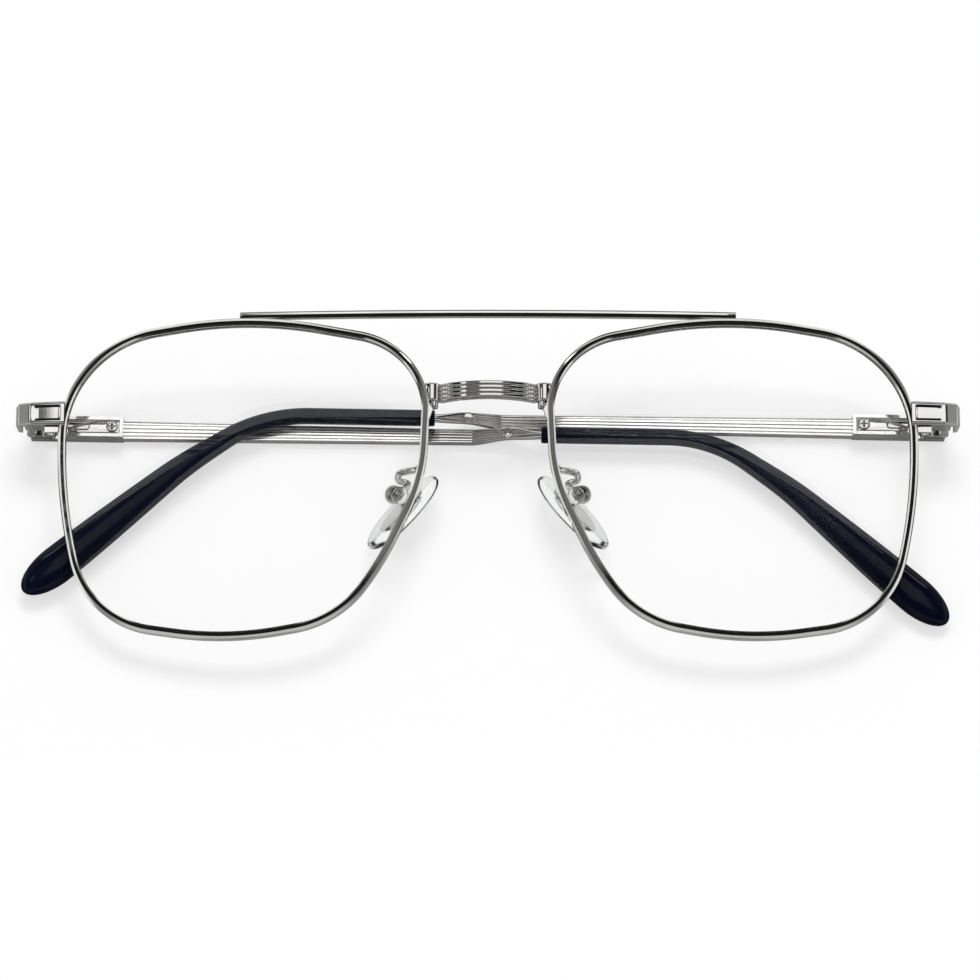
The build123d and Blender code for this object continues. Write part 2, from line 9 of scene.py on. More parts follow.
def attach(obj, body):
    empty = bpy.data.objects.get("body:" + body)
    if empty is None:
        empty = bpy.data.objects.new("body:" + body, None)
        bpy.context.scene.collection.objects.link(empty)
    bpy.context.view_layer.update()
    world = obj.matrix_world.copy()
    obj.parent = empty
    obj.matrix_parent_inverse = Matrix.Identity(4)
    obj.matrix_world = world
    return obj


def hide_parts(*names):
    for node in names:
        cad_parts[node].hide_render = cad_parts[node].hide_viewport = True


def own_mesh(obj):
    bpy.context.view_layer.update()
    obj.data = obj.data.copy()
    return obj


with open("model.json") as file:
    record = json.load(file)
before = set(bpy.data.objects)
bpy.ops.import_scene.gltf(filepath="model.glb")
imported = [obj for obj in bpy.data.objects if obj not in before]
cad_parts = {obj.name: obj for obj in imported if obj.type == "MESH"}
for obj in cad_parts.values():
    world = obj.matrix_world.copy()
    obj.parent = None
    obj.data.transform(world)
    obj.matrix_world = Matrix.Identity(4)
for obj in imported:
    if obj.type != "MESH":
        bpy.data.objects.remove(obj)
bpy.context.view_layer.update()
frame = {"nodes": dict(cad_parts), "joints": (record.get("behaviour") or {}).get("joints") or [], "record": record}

# Sizes in millimetres, as in the part's own source

LENS_WIDTH = 54.6
LENS_HEIGHT = 48.2
LENS_CENTRE_X = 36.9
LENS_CURVE_RADIUS = 160.0
LENS_THICKNESS = 1.7
WRAP_DEG = 1.5
GROOVE_DEPTH = 0.4
GROOVE_HALF = 0.45
RIM_LIP = 0.75
RIM_HALF_DEPTH = 0.95
OUTLINE_CORNER_SHARES = (
    (-0.0108, 0.5175), (0.5018, 0.4305), (0.5018, -0.0620), (0.4226, -0.4476),
    (0.0394, -0.5140), (-0.2640, -0.4527), (-0.3799, -0.2664), (-0.4904, -0.0058),
    (-0.5066, 0.4238),
)
OUTLINE_RADIUS_SHARES = (1.227, 0.297, 1.460, 0.262, 0.880, 0.297, 0.820, 0.485, 0.216)

BAR_LENGTH = 75.4
BAR_HEIGHT = 1.15
BAR_DEPTH = 1.3
BAR_BOW = 1.4
BAR_SEAT = 0.05

BRIDGE_SPAN = 16.4
BRIDGE_BOW = 2.9
BRIDGE_HEIGHT = 2.55
BRIDGE_THICKNESS = 2.1
BRIDGE_CENTRE_Y = 13.6

POST_HEIGHT = 2.8
POST_DEPTH = 2.2
POST_OVERLAP = 0.9
BOSS_RADIUS = 0.7
BOSS_HEIGHT = 1.1
STRUT_DROP = 2.3

END_REACH = 6.6
END_HEIGHT = 3.65
END_THICKNESS = 1.2
END_RIM_OVERLAP = 0.9
END_CENTRE_Y = 10.15

PIVOT_INSET = 3.2
PIVOT_DEPTH = 8.4
HINGE_TILT_DEG = 5.3
FOLD_OFFSET_DEG = 1.0
TEMPLE_FACE_OFFSET = 3.3
TEMPLE_FRONT_REACH = 1.6
STOP_GAP = 0.3
TEMPLE_THICKNESS = 1.2
HOUSING_END = 12.6

TEMPLE_HEIGHT = 3.05
TEMPLE_END_HEIGHT = 2.3
SPEAR_START = 66.0
SPEAR_MIDDLE = 71.4
SPEAR_END = 76.5
SPEAR_MIDDLE_HEIGHT = 1.8
SPEAR_MIDDLE_THICKNESS = 1.0
CORE_RADIUS = 0.65
CORE_RISE = -0.2
CORE_OFFSET = 0.55

TIP_BEND_START = 102.6
TIP_SECOND_BEND = 114.7
TIP_END = 137.9
TIP_FIRST_ANGLE_DEG = 34.6
TIP_SECOND_ANGLE_DEG = 41.6
TIP_RADII = (22.0, 58.0)
TIP_THICKNESS = 2.6
TIP_HEIGHT = 2.5
TIP_SWELL_START = 0.30
TIP_SWELL_END = 0.955
TIP_CAP_START = 0.905
TIP_HEIGHT_SWELL = 1.4
TIP_THICKNESS_SWELL = 0.30

PAD_SCREW = (13.8, -1.95, -4.6)
PAD_SLOPE_DEG = 40.0
PAD_SPLAY_DEG = 35.0
PAD_LEAN_DEG = 7.5
PAD_LENGTH = 15.2
PAD_WIDTH = 7.0
PAD_THICKNESS = 2.3
PAD_STANDOFF = 1.6
PAD_SHIFT = 1.0

CAMERA_TILT_DEG = 14.0
CAMERA_DISTANCE = 600.0
PIXELS_PER_MM = 6.67
IMAGE_WIDTH = 980
CAMERA_TARGET = (0.3, -2.3, 0.0)

MIRROR = Matrix.Scale(-1, 4, (1, 0, 0))
MM = 0.001


# Mesh tools

def turn(degrees, axis):
    return Matrix.Rotation(radians(degrees), 4, axis)


def smooth(value):
    held = min(max(value, 0), 1)
    return held * held * (3 - 2 * held)


def mix(a, b, share):
    return a + (b - a) * share


def circle(count):
    """Cosine and sine at even steps round a circle."""
    angles = [2 * pi * k / count for k in range(count)]
    return [(cos(angle), sin(angle)) for angle in angles]


def arc(start, end, steps):
    """Cosine and sine at even steps between two angles in degrees, both included."""
    angles = [radians(start + (end - start) * step / steps) for step in range(steps + 1)]
    return [(cos(angle), sin(angle)) for angle in angles]


def rounded_line(corners, radii, closed, chord):
    """Points along straight runs and arcs, with normals that look out where it runs clockwise."""
    found = []
    count = len(corners)
    points = [Vector(corner) for corner in corners]
    for number, here in enumerate(points):
        if not closed and number in (0, count - 1):
            run = points[1] - here if number == 0 else here - points[-2]
            run.normalize()
            found.append((here, Vector((-run.y, run.x))))
            continue
        into = (here - points[number - 1]).normalized()
        out = (points[(number + 1) % count] - here).normalized()
        angle = into.angle(out)
        side = -1 if into.x * out.y - into.y * out.x < 0 else 1
        radius = radii[number] if closed else radii[number - 1]
        start = here - into * radius * tan(angle / 2)
        towards = Vector((-into.y, into.x)) * side
        centre = start + towards * radius
        steps = max(2, ceil(angle * radius / chord))
        for step in range(steps + 1):
            turned = side * angle * step / steps
            away = -towards
            spoke = Vector((
                away.x * cos(turned) - away.y * sin(turned),
                away.x * sin(turned) + away.y * cos(turned),
            ))
            found.append((centre + spoke * radius, spoke * -side))
    return found


def spread(line, longest):
    """The same line with its long straight runs cut up."""
    result = []
    for number, (point, normal) in enumerate(line):
        if number:
            before = line[number - 1]
            pieces = max(1, ceil((point - before[0]).length / longest))
            for piece in range(1, pieces):
                share = piece / pieces
                turned = before[1].lerp(normal, share).normalized()
                result.append((before[0].lerp(point, share), turned))
        result.append((point, normal))
    return result


def run_lengths(line):
    """How far along the line each of its points lies."""
    lengths = [0.0]
    for before, here in zip(line, line[1:]):
        lengths.append(lengths[-1] + (here[0] - before[0]).length)
    return lengths


def skin(rings, closed=False):
    """Quads between rings of equal length, with each end closed by a fan round its middle."""
    vertices, faces = [vertex for ring in rings for vertex in ring], []
    size = len(rings[0])
    last = len(rings) if closed else len(rings) - 1
    for a in range(last):
        b = (a + 1) % len(rings)
        for k in range(size):
            n = (k + 1) % size
            faces.append((a * size + k, a * size + n, b * size + n, b * size + k))
    if not closed:
        for start, back in ((0, True), ((len(rings) - 1) * size, False)):
            middle = sum((Vector(vertices[start + k]) for k in range(size)), Vector()) / size
            vertices.append(middle)
            hub = len(vertices) - 1
            for k in range(size):
                n = (k + 1) % size
                face = (start + n, start + k, hub) if back else (start + k, start + n, hub)
                faces.append(face)
    return vertices, faces


def joined(parts):
    vertices, faces = [], []
    for more_vertices, more_faces in parts:
        first = len(vertices)
        vertices.extend(more_vertices)
        faces.extend(tuple(first + index for index in face) for face in more_faces)
    return vertices, faces


def add_object(name, data):
    obj = bpy.data.objects.new(name, data)
    bpy.context.scene.collection.objects.link(obj)
    return obj


def piece(name, shape, place, body, node, slot, sharp_deg, finish=None):
    """One closed piece, which rides on a body and takes the place of a node."""
    vertices, faces = shape
    mesh = bpy.data.meshes.new(name)
    mesh.from_pydata([tuple(vertex) for vertex in vertices], [], faces)
    mesh.validate()
    mesh.transform(place)
    obj = add_object(name, mesh)
    outward(mesh)
    mesh.polygons.foreach_set("use_smooth", [True] * len(mesh.polygons))
    mesh.set_sharp_from_angle(angle=radians(sharp_deg))
    mesh.materials.append(finish or SLOT_FINISHES[slot])
    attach(obj, body)
    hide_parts(node)
    return obj


def outward(mesh):
    """Turns every face of a closed mesh to look out."""
    work = bmesh.new()
    work.from_mesh(mesh)
    bmesh.ops.recalc_face_normals(work, faces=work.faces)
    work.to_mesh(mesh)
    work.free()


def rounded_box_ring(width, height, radius, steps):
    """Points round a rectangle with rounded corners, centred, anticlockwise."""
    ring = []
    for number, (sx, sy) in enumerate(((1, 1), (-1, 1), (-1, -1), (1, -1))):
        cx, cy = sx * (width / 2 - radius), sy * (height / 2 - radius)
        for x, y in arc(90 * number, 90 * number + 90, steps):
            ring.append((cx + radius * x, cy + radius * y))
    return ring


# Lens shape

def lens_height(x, y, lift):
    return sqrt((LENS_CURVE_RADIUS + lift) ** 2 - x * x - y * y) - LENS_CURVE_RADIUS


OUTLINE_CHORD = 0.45
OUTLINE = rounded_line(
    [(x * LENS_WIDTH, y * LENS_HEIGHT) for x, y in OUTLINE_CORNER_SHARES],
    [share * LENS_WIDTH for share in OUTLINE_RADIUS_SHARES], True, OUTLINE_CHORD)


def outline_ring(grow, lift, share=1.0):
    ring = []
    for point, normal in OUTLINE:
        x, y = (point + normal * grow) * share
        ring.append(Vector((x, y, lens_height(x, y, lift))))
    return ring


# Where the front and the temples stand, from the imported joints

RIGHT_LENS = Matrix.Translation((LENS_CENTRE_X, 0, 0)) @ turn(WRAP_DEG, "Y")


def rim_place(x, y):
    return RIGHT_LENS @ Vector((x, y, lens_height(x, y, 0)))


rim_top_y = max((point + normal * RIM_LIP).y for point, normal in OUTLINE)
rim_side_x = max((point + normal * RIM_LIP).x for point, normal in OUTLINE)
END_HALF_SPAN = rim_place(rim_side_x, END_CENTRE_Y).x + END_REACH
PIVOT_X = END_HALF_SPAN - PIVOT_INSET

PIN_TURN = turn(-FOLD_OFFSET_DEG, "Z") @ turn(-HINGE_TILT_DEG, "X")
left_fold = next(joint for joint in frame["joints"] if joint["name"] == "temple_fold_left")
own_axis = PIN_TURN @ Vector((0, 1, 0))
packed_axis = Vector(left_fold["axis"])
LYING_TILT = atan2(packed_axis.z, packed_axis.y) - atan2(own_axis.z, own_axis.y)
FRONT = (
    Matrix.Translation(Vector(left_fold["pos_m"]))
    @ Matrix.Rotation(LYING_TILT, 4, "X")
    @ Matrix.Scale(MM, 4)
    @ Matrix.Translation((PIVOT_X, -END_CENTRE_Y, PIVOT_DEPTH))
)


def hinge_place(x):
    return FRONT @ Matrix.Translation((x, END_CENTRE_Y, -PIVOT_DEPTH)) @ PIN_TURN


FRONT_SIDES = (("right", FRONT), ("left", FRONT @ MIRROR))
TEMPLE_SIDES = (("left", hinge_place(-PIVOT_X)), ("right", hinge_place(PIVOT_X) @ MIRROR))

slope, lean = radians(PAD_SLOPE_DEG), radians(PAD_LEAN_DEG)
pad_x = Vector((
    sin(slope) * cos(lean), -cos(slope) * cos(lean), sin(lean)))
pad_z = Vector((-cos(slope), -sin(slope), 0))
pad_y = pad_z.cross(pad_x)
RIGHT_PAD = (
    Matrix.Translation(PAD_SCREW)
    @ Matrix((pad_x, pad_y, pad_z)).transposed().to_4x4()
    @ turn(PAD_SPLAY_DEG, "X")
)


# Materials

NOISE_LOW, NOISE_HIGH = 0.3, 0.7
BUMP_DISTANCE = 0.00002


def new_material(name, colour, metallic, roughness):
    material = bpy.data.materials.new(name)
    material.use_nodes = True
    shader = material.node_tree.nodes["Principled BSDF"]
    shader.inputs["Base Color"].default_value = (*colour, 1)
    shader.inputs["Metallic"].default_value = metallic
    shader.inputs["Roughness"].default_value = roughness
    return material, material.node_tree, shader


def add_node(tree, kind, inputs, **settings):
    """A node with its settings, and each input linked to an output or set to a value."""
    node = tree.nodes.new("ShaderNode" + kind)
    for name, value in settings.items():
        setattr(node, name, value)
    for socket, value in inputs.items():
        if isinstance(value, bpy.types.NodeSocket):
            tree.links.new(value, node.inputs[socket])
        else:
            node.inputs[socket].default_value = value
    return node


def noise(tree, scale, detail=4.0, stretch=None):
    place = add_node(tree, "TexCoord", {}).outputs["Object"]
    if stretch:
        place = add_node(tree, "Mapping", {"Vector": place, "Scale": stretch}).outputs["Vector"]
    inputs = {"Vector": place, "Scale": scale, "Detail": detail}
    return add_node(tree, "TexNoise", inputs).outputs["Fac"]


def ramp(tree, value, low, high):
    inputs = {"Value": value, "From Min": NOISE_LOW, "From Max": NOISE_HIGH,
              "To Min": low, "To Max": high}
    return add_node(tree, "MapRange", inputs).outputs["Result"]


def tint(tree, share, dark, light):
    inputs = {"Factor": share, "A": (*dark, 1), "B": (*light, 1)}
    return add_node(tree, "Mix", inputs, data_type="RGBA").outputs["Result"]


def bump(tree, height, strength, distance):
    inputs = {"Height": height, "Strength": strength, "Distance": distance}
    return add_node(tree, "Bump", inputs).outputs["Normal"]


def vary(tree, shader, broad, colours, fine, roughness, strength, distance=BUMP_DISTANCE):
    """Colour, roughness and fine relief that change a little over the surface."""
    links = tree.links
    links.new(tint(tree, ramp(tree, broad, 0, 1), *colours), shader.inputs["Base Color"])
    links.new(ramp(tree, fine, *roughness), shader.inputs["Roughness"])
    links.new(bump(tree, fine, strength, distance), shader.inputs["Normal"])


def metal(name, dark, light, roughness, grain=(1, 1, 1), grain_scale=900.0):
    material, tree, shader = new_material(name, light, 1.0, roughness[0])
    broad, fine = noise(tree, 140.0), noise(tree, grain_scale, 3.0, grain)
    vary(tree, shader, broad, (dark, light), fine, roughness, 0.03)
    return material


def make_navy():
    """Dark glossy plastic, which reflects little."""
    material, tree, shader = new_material(
        "navy_plastic_finish", (0.006, 0.009, 0.022), 0.0, 0.16)
    shader.inputs["Specular IOR Level"].default_value = 0.09
    broad, fine = noise(tree, 60.0, 3.0, (1, 2.5, 2.5)), noise(tree, 700.0, 2.0)
    colours = (0.0018, 0.0026, 0.0075), (0.0034, 0.0052, 0.0150)
    vary(tree, shader, broad, colours, fine, (0.05, 0.10), 0.015)
    return material


def make_clear():
    """A thin coated lens: nearly all light goes straight through, and little is reflected."""
    material, tree, shader = new_material("clear_lens_finish", (0.985, 0.99, 0.99), 0.0, 0.02)
    shader.inputs["Transmission Weight"].default_value = 1.0
    shader.inputs["IOR"].default_value = 1.5
    shader.inputs["Specular IOR Level"].default_value = 0.3
    shader.inputs["Alpha"].default_value = 0.05
    broad = noise(tree, 25.0, 2.0)
    colours = (0.975, 0.985, 0.985), (0.995, 1.0, 1.0)
    vary(tree, shader, broad, colours, broad, (0.01, 0.03), 0.01)
    return material


def make_silicone():
    material, tree, shader = new_material(
        "clear_silicone_finish", (0.95, 0.96, 0.96), 0.0, 0.12)
    shader.inputs["Transmission Weight"].default_value = 1.0
    shader.inputs["IOR"].default_value = 1.36
    broad = noise(tree, 220.0, 2.0)
    colours = (0.95, 0.96, 0.96), (0.99, 1.0, 1.0)
    vary(tree, shader, broad, colours, broad, (0.03, 0.10), 0.04, 0.00005)
    return material


polished = metal(
    "polished_steel_finish", (0.58, 0.575, 0.56), (0.69, 0.685, 0.67), (0.045, 0.10))
satin = metal(
    "fluted_steel_finish", (0.74, 0.73, 0.71), (0.86, 0.85, 0.83), (0.05, 0.10),
    grain=(0.08, 1, 1), grain_scale=1500.0)
plain_steel = metal(
    "spring_steel_finish", (0.40, 0.40, 0.41), (0.56, 0.56, 0.57), (0.20, 0.32))
screw_metal = metal(
    "screw_steel_finish", (0.58, 0.575, 0.56), (0.70, 0.695, 0.68), (0.07, 0.16))

SLOT_FINISHES = {
    "polished_steel": polished, "fluted_steel": satin, "spring_steel": plain_steel,
    "screw_steel": screw_metal, "clear_lens": make_clear(), "clear_silicone": make_silicone(),
    "navy_acetate": make_navy(),
}


# Nodes that show as they were packed: their materials, and the softened edges of the blocks

ROUNDED_NODES = ("closing_block", "temple_housing", "pad_box")
ROUNDED_EDGE = 0.14
ROUNDED_FROM_DEG = 35


def soften(obj):
    weld = obj.modifiers.new("weld", "WELD")
    weld.merge_threshold = 1e-6
    bevel = obj.modifiers.new("soften", "BEVEL")
    bevel.width = ROUNDED_EDGE * MM
    bevel.segments = 3
    bevel.limit_method = "ANGLE"
    bevel.angle_limit = radians(ROUNDED_FROM_DEG)
    even = obj.modifiers.new("even", "WEIGHTED_NORMAL")
    even.weight = 60


node_slots = {entry["node"]: entry["material_slot"] for entry in frame["record"]["subparts"]}
for node, obj in frame["nodes"].items():
    obj.data.materials.clear()
    obj.data.materials.append(SLOT_FINISHES.get(node_slots.get(node), polished))
    if node.startswith(ROUNDED_NODES):
        soften(obj)


# Rims and lenses

RIM_FACE_DROP = 0.045
RIM_FACET, RIM_FACET_DEG = 0.22, 17
RIM_EDGE, RIM_EDGE_DEG = 0.20, 28
RIM_BACK_CUT = 0.2
RIM_INNER_CUT, RIM_INNER_SLOPE = 0.22, 0.9
GROOVE_FLOOR = 0.05
LENS_GAP = 0.05
LENS_BEVEL = 0.1
LENS_RINGS = 12


def rim_profile():
    """The rim's section, as pairs of outward reach and lift, from the groove's front edge."""
    inner, outer, half = -GROOVE_DEPTH, RIM_LIP, RIM_HALF_DEPTH
    face, back = half - RIM_FACE_DROP, RIM_BACK_CUT
    facet_drop = RIM_FACET * tan(radians(RIM_FACET_DEG))
    edge_drop = RIM_EDGE * tan(radians(RIM_EDGE_DEG))
    return [
        (inner, GROOVE_HALF), (inner, half - RIM_INNER_CUT * RIM_INNER_SLOPE),
        (inner + RIM_INNER_CUT, half), (outer - RIM_EDGE - RIM_FACET, face),
        (outer - RIM_EDGE, face - facet_drop), (outer, face - facet_drop - edge_drop),
        (outer, -half + back), (outer - back * 0.4, -half + back * 0.4),
        (outer - back, -half), (inner + back, -half), (inner, -half + back),
        (inner, -GROOVE_HALF), (GROOVE_FLOOR, -GROOVE_HALF), (GROOVE_FLOOR, GROOVE_HALF),
    ]


def make_rim():
    """Rings run round the section, and each ring follows the whole lens shape."""
    rings = [outline_ring(reach, lift) for reach, lift in rim_profile()]
    return skin(rings, closed=True)


def make_lens():
    """Two curved faces, and a tongue round the edge that sits in the rim's groove."""
    half, tongue = LENS_THICKNESS / 2, GROOVE_HALF - LENS_GAP
    edge = -GROOVE_DEPTH - LENS_GAP
    shares = [step / LENS_RINGS for step in range(1, LENS_RINGS)]
    rings = [outline_ring(edge, half, share) for share in shares]
    rings += [outline_ring(reach, lift) for reach, lift in (
        (edge - LENS_BEVEL, half), (edge, half - LENS_BEVEL), (edge, tongue), (0, tongue),
        (0, -tongue), (edge, -tongue), (edge, LENS_BEVEL - half), (edge - LENS_BEVEL, -half))]
    rings += [outline_ring(edge, -half, share) for share in reversed(shares)]
    return skin(rings)


for side, place in FRONT_SIDES:
    lens_place = place @ RIGHT_LENS
    piece("rim_ring_" + side, make_rim(), lens_place, "front", "rim_" + side,
          "polished_steel", 10)
    piece("lens_plate_" + side, make_lens(), lens_place, "front", "lens_" + side,
          "clear_lens", 35)


# Top bar

BAR_STEPS = 40
BAR_BACK_CUT_Y, BAR_BACK_CUT_Z = 0.2, 0.25
# Facets of its front, as pairs of distance below the top and behind the front
BAR_FACETS = (
    (0, 0.34), (0.05, 0.22), (0.12, 0.13), (0.19, 0.075), (0.25, 0.03), (0.30, 0),
    (0.55, 0), (0.60, 0.01), (1.00, 0.115),
)
# The same for its underside, from the bottom up
BAR_UNDERSIDE = ((0.06, 0.2), (0, 0.42))
# How its ends close, as pairs of distance from the end and share of the section
BAR_ENDS = ((0, 0.88), (0.03, 0.95), (0.1, 1.0))


def make_top_bar():
    centre_y = rim_top_y - BAR_SEAT + BAR_HEIGHT / 2
    half = BAR_LENGTH / 2
    radius = (half ** 2 + BAR_BOW ** 2) / (2 * BAR_BOW)
    sag = radius - sqrt(radius ** 2 - LENS_CENTRE_X ** 2)
    z = rim_place(0, rim_top_y).z + sag
    half_y, half_z = BAR_HEIGHT / 2, BAR_DEPTH / 2
    back_y, back_z = half_y - BAR_BACK_CUT_Y, -half_z + BAR_BACK_CUT_Z
    ring = [(-half_y, back_z), (-back_y, -half_z), (back_y, -half_z), (half_y, back_z)]
    ring += [(half_y - down, half_z - behind) for down, behind in BAR_FACETS]
    ring += [(-half_y + up, half_z - behind) for up, behind in BAR_UNDERSIDE]
    stations = [(-half + x, share) for x, share in BAR_ENDS]
    stations += [(-half + BAR_LENGTH * step / BAR_STEPS, 1.0) for step in range(1, BAR_STEPS)]
    stations += [(half - x, share) for x, share in reversed(BAR_ENDS)]
    rings = []
    for x, share in stations:
        drop = radius - sqrt(radius ** 2 - x * x)
        rings.append([
            Vector((x, centre_y + y * share, z - drop + depth * share)) for y, depth in ring])
    return skin(rings)


piece("top_bar_rod", make_top_bar(), FRONT, "front", "top_bar", "polished_steel", 24)


# Bridge: four rounded ribs, with two columns of beads at each end

BRIDGE_RADIUS = ((BRIDGE_SPAN / 2) ** 2 + BRIDGE_BOW ** 2) / (2 * BRIDGE_BOW)
BRIDGE_HALF_ANGLE = asin(BRIDGE_SPAN / 2 / BRIDGE_RADIUS)
BRIDGE_STEPS = 40
BRIDGE_BACK_CUT_Y, BRIDGE_BACK_CUT_Z = 0.25, 0.2
RIBS = 4
RIB_GROOVE, RIB_CROWN = 0.20, 0.025
RIB_FADE, RIB_FADE_STEPS = 0.25, 5
BEAD_ZONE, BEAD_FLOOR = 2.25, 0.30
BEAD_RADIUS, BEAD_LIFT, BEAD_SINK = 0.29, 0.29, 0.31
BEAD_INSET, BEAD_SPACING = 1.27, 0.6


def bridge_point(angle, radius, y):
    z = radius * cos(angle) - BRIDGE_RADIUS
    return Vector((radius * sin(angle), BRIDGE_CENTRE_Y + y, z))


def bridge_ring(angle):
    half = BRIDGE_HEIGHT / 2
    along = (BRIDGE_HALF_ANGLE - abs(angle)) * BRIDGE_RADIUS
    ribbed = smooth((along - BEAD_ZONE) / RIB_FADE)
    outer = []
    steps = RIBS * 12
    for step in range(steps + 1):
        v = step / steps
        groove = abs(2 * ((v * RIBS) % 1) - 1)
        ribs = RIB_GROOVE * groove ** 6 + RIB_CROWN * groove ** 2
        drop = BEAD_FLOOR if step in (0, steps) else mix(BEAD_FLOOR, ribs, ribbed)
        outer.append((BRIDGE_RADIUS - drop, -half + BRIDGE_HEIGHT * v))
    inner, back_y = BRIDGE_RADIUS - BRIDGE_THICKNESS, half - BRIDGE_BACK_CUT_Y
    back = [(inner + BRIDGE_BACK_CUT_Z, half), (inner, back_y), (inner, -back_y),
            (inner + BRIDGE_BACK_CUT_Z, -half)]
    return [bridge_point(angle, radius, y) for radius, y in outer + back]


def dome(centre, out, up, radius, height):
    side = up.cross(out)
    rings = []
    for inward, lift in arc(0, 90, 5)[:-1]:
        size, rise = radius * inward, out * height * lift
        rings.append([centre + side * size * x + up * size * y + rise for x, y in circle(12)])
    return skin(rings)


def make_bridge():
    zone = BEAD_ZONE / BRIDGE_RADIUS
    angles = [-BRIDGE_HALF_ANGLE + 2 * BRIDGE_HALF_ANGLE * step / BRIDGE_STEPS
              for step in range(BRIDGE_STEPS + 1)]
    for edge in (-1, 1):
        for step in range(RIB_FADE_STEPS + 1):
            fade = RIB_FADE / BRIDGE_RADIUS * step / RIB_FADE_STEPS
            angles.append(edge * (BRIDGE_HALF_ANGLE - zone - fade))
    parts = [skin([bridge_ring(angle) for angle in sorted(set(angles))])]
    for edge in (-1, 1):
        for column in range(2):
            inset = BEAD_INSET + column * BEAD_SPACING
            angle = edge * (BRIDGE_HALF_ANGLE - inset / BRIDGE_RADIUS)
            out = Vector((sin(angle), 0, cos(angle)))
            for row in range(RIBS):
                y = -BRIDGE_HEIGHT / 2 + BRIDGE_HEIGHT * (row + 0.5) / RIBS
                base = bridge_point(angle, BRIDGE_RADIUS - BEAD_SINK, y)
                parts.append(dome(base, out, Vector((0, 1, 0)), BEAD_RADIUS, BEAD_LIFT))
    return joined(parts)


piece("bridge_ribbed", make_bridge(), FRONT, "front", "bridge", "fluted_steel", 60, polished)


# Bridge posts: a rounded column, a small socket below it and a strut to the rim

rim_nose_x = -min((point + normal * RIM_LIP).x for point, normal in OUTLINE)
POST_RIM_X = rim_place(-rim_nose_x, BRIDGE_CENTRE_Y).x
POST_LOW_X, POST_HIGH_X = BRIDGE_SPAN / 2 - POST_OVERLAP, POST_RIM_X + POST_OVERLAP
POST_FRONT_Z = -BRIDGE_BOW + BRIDGE_THICKNESS / 2
POST_ROUND, POST_ROUND_POWER = 1.0, 0.9
POST_EDGE = 0.3
SOCKET_RADIUS, SOCKET_OVERLAP = 0.62, 0.3
# The socket's lower end, as pairs of height over its lowest point and radius
SOCKET_FOOT = ((0.25, 0.62), (0.08, 0.58), (0, 0.48), (0.02, 0.40), (0.3, 0.34), (0.32, 0.05))
# The strut's section, as pairs of lift and share of its outline
STRUT_SECTION = ((-0.4, 0.88), (-0.3, 1.0), (0.3, 1.0), (0.4, 0.88))
STRUT_SHIFT = 0.15


def post_ring(y, inset):
    middle, wide = (POST_LOW_X + POST_HIGH_X) / 2, (POST_HIGH_X - POST_LOW_X) / 2 - inset
    ring = []
    for step in range(25):
        angle = pi * step / 24
        bulge = (POST_ROUND - inset) * sin(angle) ** POST_ROUND_POWER
        z = POST_FRONT_Z - POST_ROUND + bulge
        ring.append(Vector((middle + wide * cos(angle), y, z)))
    back = POST_FRONT_Z - POST_DEPTH + inset
    return ring + [Vector((middle - wide, y, back)), Vector((middle + wide, y, back))]


def turned_piece(profile, x, z):
    """Rings round an upright line, from pairs of height and radius."""
    return skin([
        [Vector((x + radius * across, y, z + radius * up)) for across, up in circle(28)]
        for y, radius in profile])


def make_post():
    half = POST_HEIGHT / 2
    rings = []
    for x, y in arc(0, 90, 6):
        rise, inset = POST_EDGE * (1 - y), POST_EDGE * (1 - x)
        rings.append(post_ring(BRIDGE_CENTRE_Y - half + rise, inset))
        rings.append(post_ring(BRIDGE_CENTRE_Y + half - rise, inset))
    column = skin(sorted(rings, key=lambda ring: ring[0].y))
    foot = BRIDGE_CENTRE_Y - half
    low_end = foot - BOSS_HEIGHT
    socket_x, socket_z = POST_RIM_X - BOSS_RADIUS, POST_FRONT_Z - POST_DEPTH / 2
    profile = [(foot + SOCKET_OVERLAP, SOCKET_RADIUS)]
    profile += [(low_end + y, radius) for y, radius in SOCKET_FOOT]
    socket = turned_piece(profile, socket_x, socket_z)
    strut_top = foot - BOSS_HEIGHT / 2
    strut_low = strut_top - STRUT_DROP
    corners = [(socket_x, strut_top), (POST_HIGH_X, strut_top), (POST_HIGH_X, strut_low),
               (socket_x + BOSS_RADIUS, strut_low)]
    centre_x = (socket_x + POST_HIGH_X) / 2 + STRUT_SHIFT
    centre_y = strut_top - STRUT_DROP / 2
    strut = skin([
        [Vector((mix(centre_x, x, share), mix(centre_y, y, share), socket_z + lift))
         for x, y in corners]
        for lift, share in STRUT_SECTION])
    return joined([column, socket, strut])


for side, place in FRONT_SIDES:
    piece("bridge_support_" + side, make_post(), place, "front", "bridge_post_" + side,
          "polished_steel", 35)


# End pieces, hollowed and polished

rim_end = rim_place(rim_side_x, END_CENTRE_Y)
END_BACK_DEPTH = -rim_end.z - RIM_HALF_DEPTH
END_FRONT_Z = -(END_BACK_DEPTH - END_THICKNESS)
END_SIDE_Z = -(PIVOT_DEPTH - TEMPLE_FRONT_REACH - STOP_GAP)
END_INNER_X = rim_end.x - END_RIM_OVERLAP
END_BOW, END_BOW_STEPS, END_BOW_RADIUS = 0.24, 10, 8.0
END_FACET_RUN, END_FACET_INSET, END_FACET_DROP = 2.3, 0.42, 0.80
END_CORNER_DROP = 2.5
END_CORNER_RADII = (1.3, 0.5, 1.2)
END_CHORD, END_LONGEST = 0.05, 0.07
END_TAPER = 0.12
END_SIDE_THICKNESS, END_THINNING_RUN = 0.85, 0.8
END_EDGE, END_LIP = 0.5, 0.56
# The hollow's edge, as pairs of height over the lower edge and reach, then its floor
HOLLOW_SLOPE = ((0.60, -0.01), (0.98, -0.15))
HOLLOW_DEPTH, HOLLOW_CURVE = 0.15, 0.03
HOLLOW_START, HOLLOW_START_FADE = 0.45, 0.4
HOLLOW_END, HOLLOW_END_FADE = 0.1, 1.3


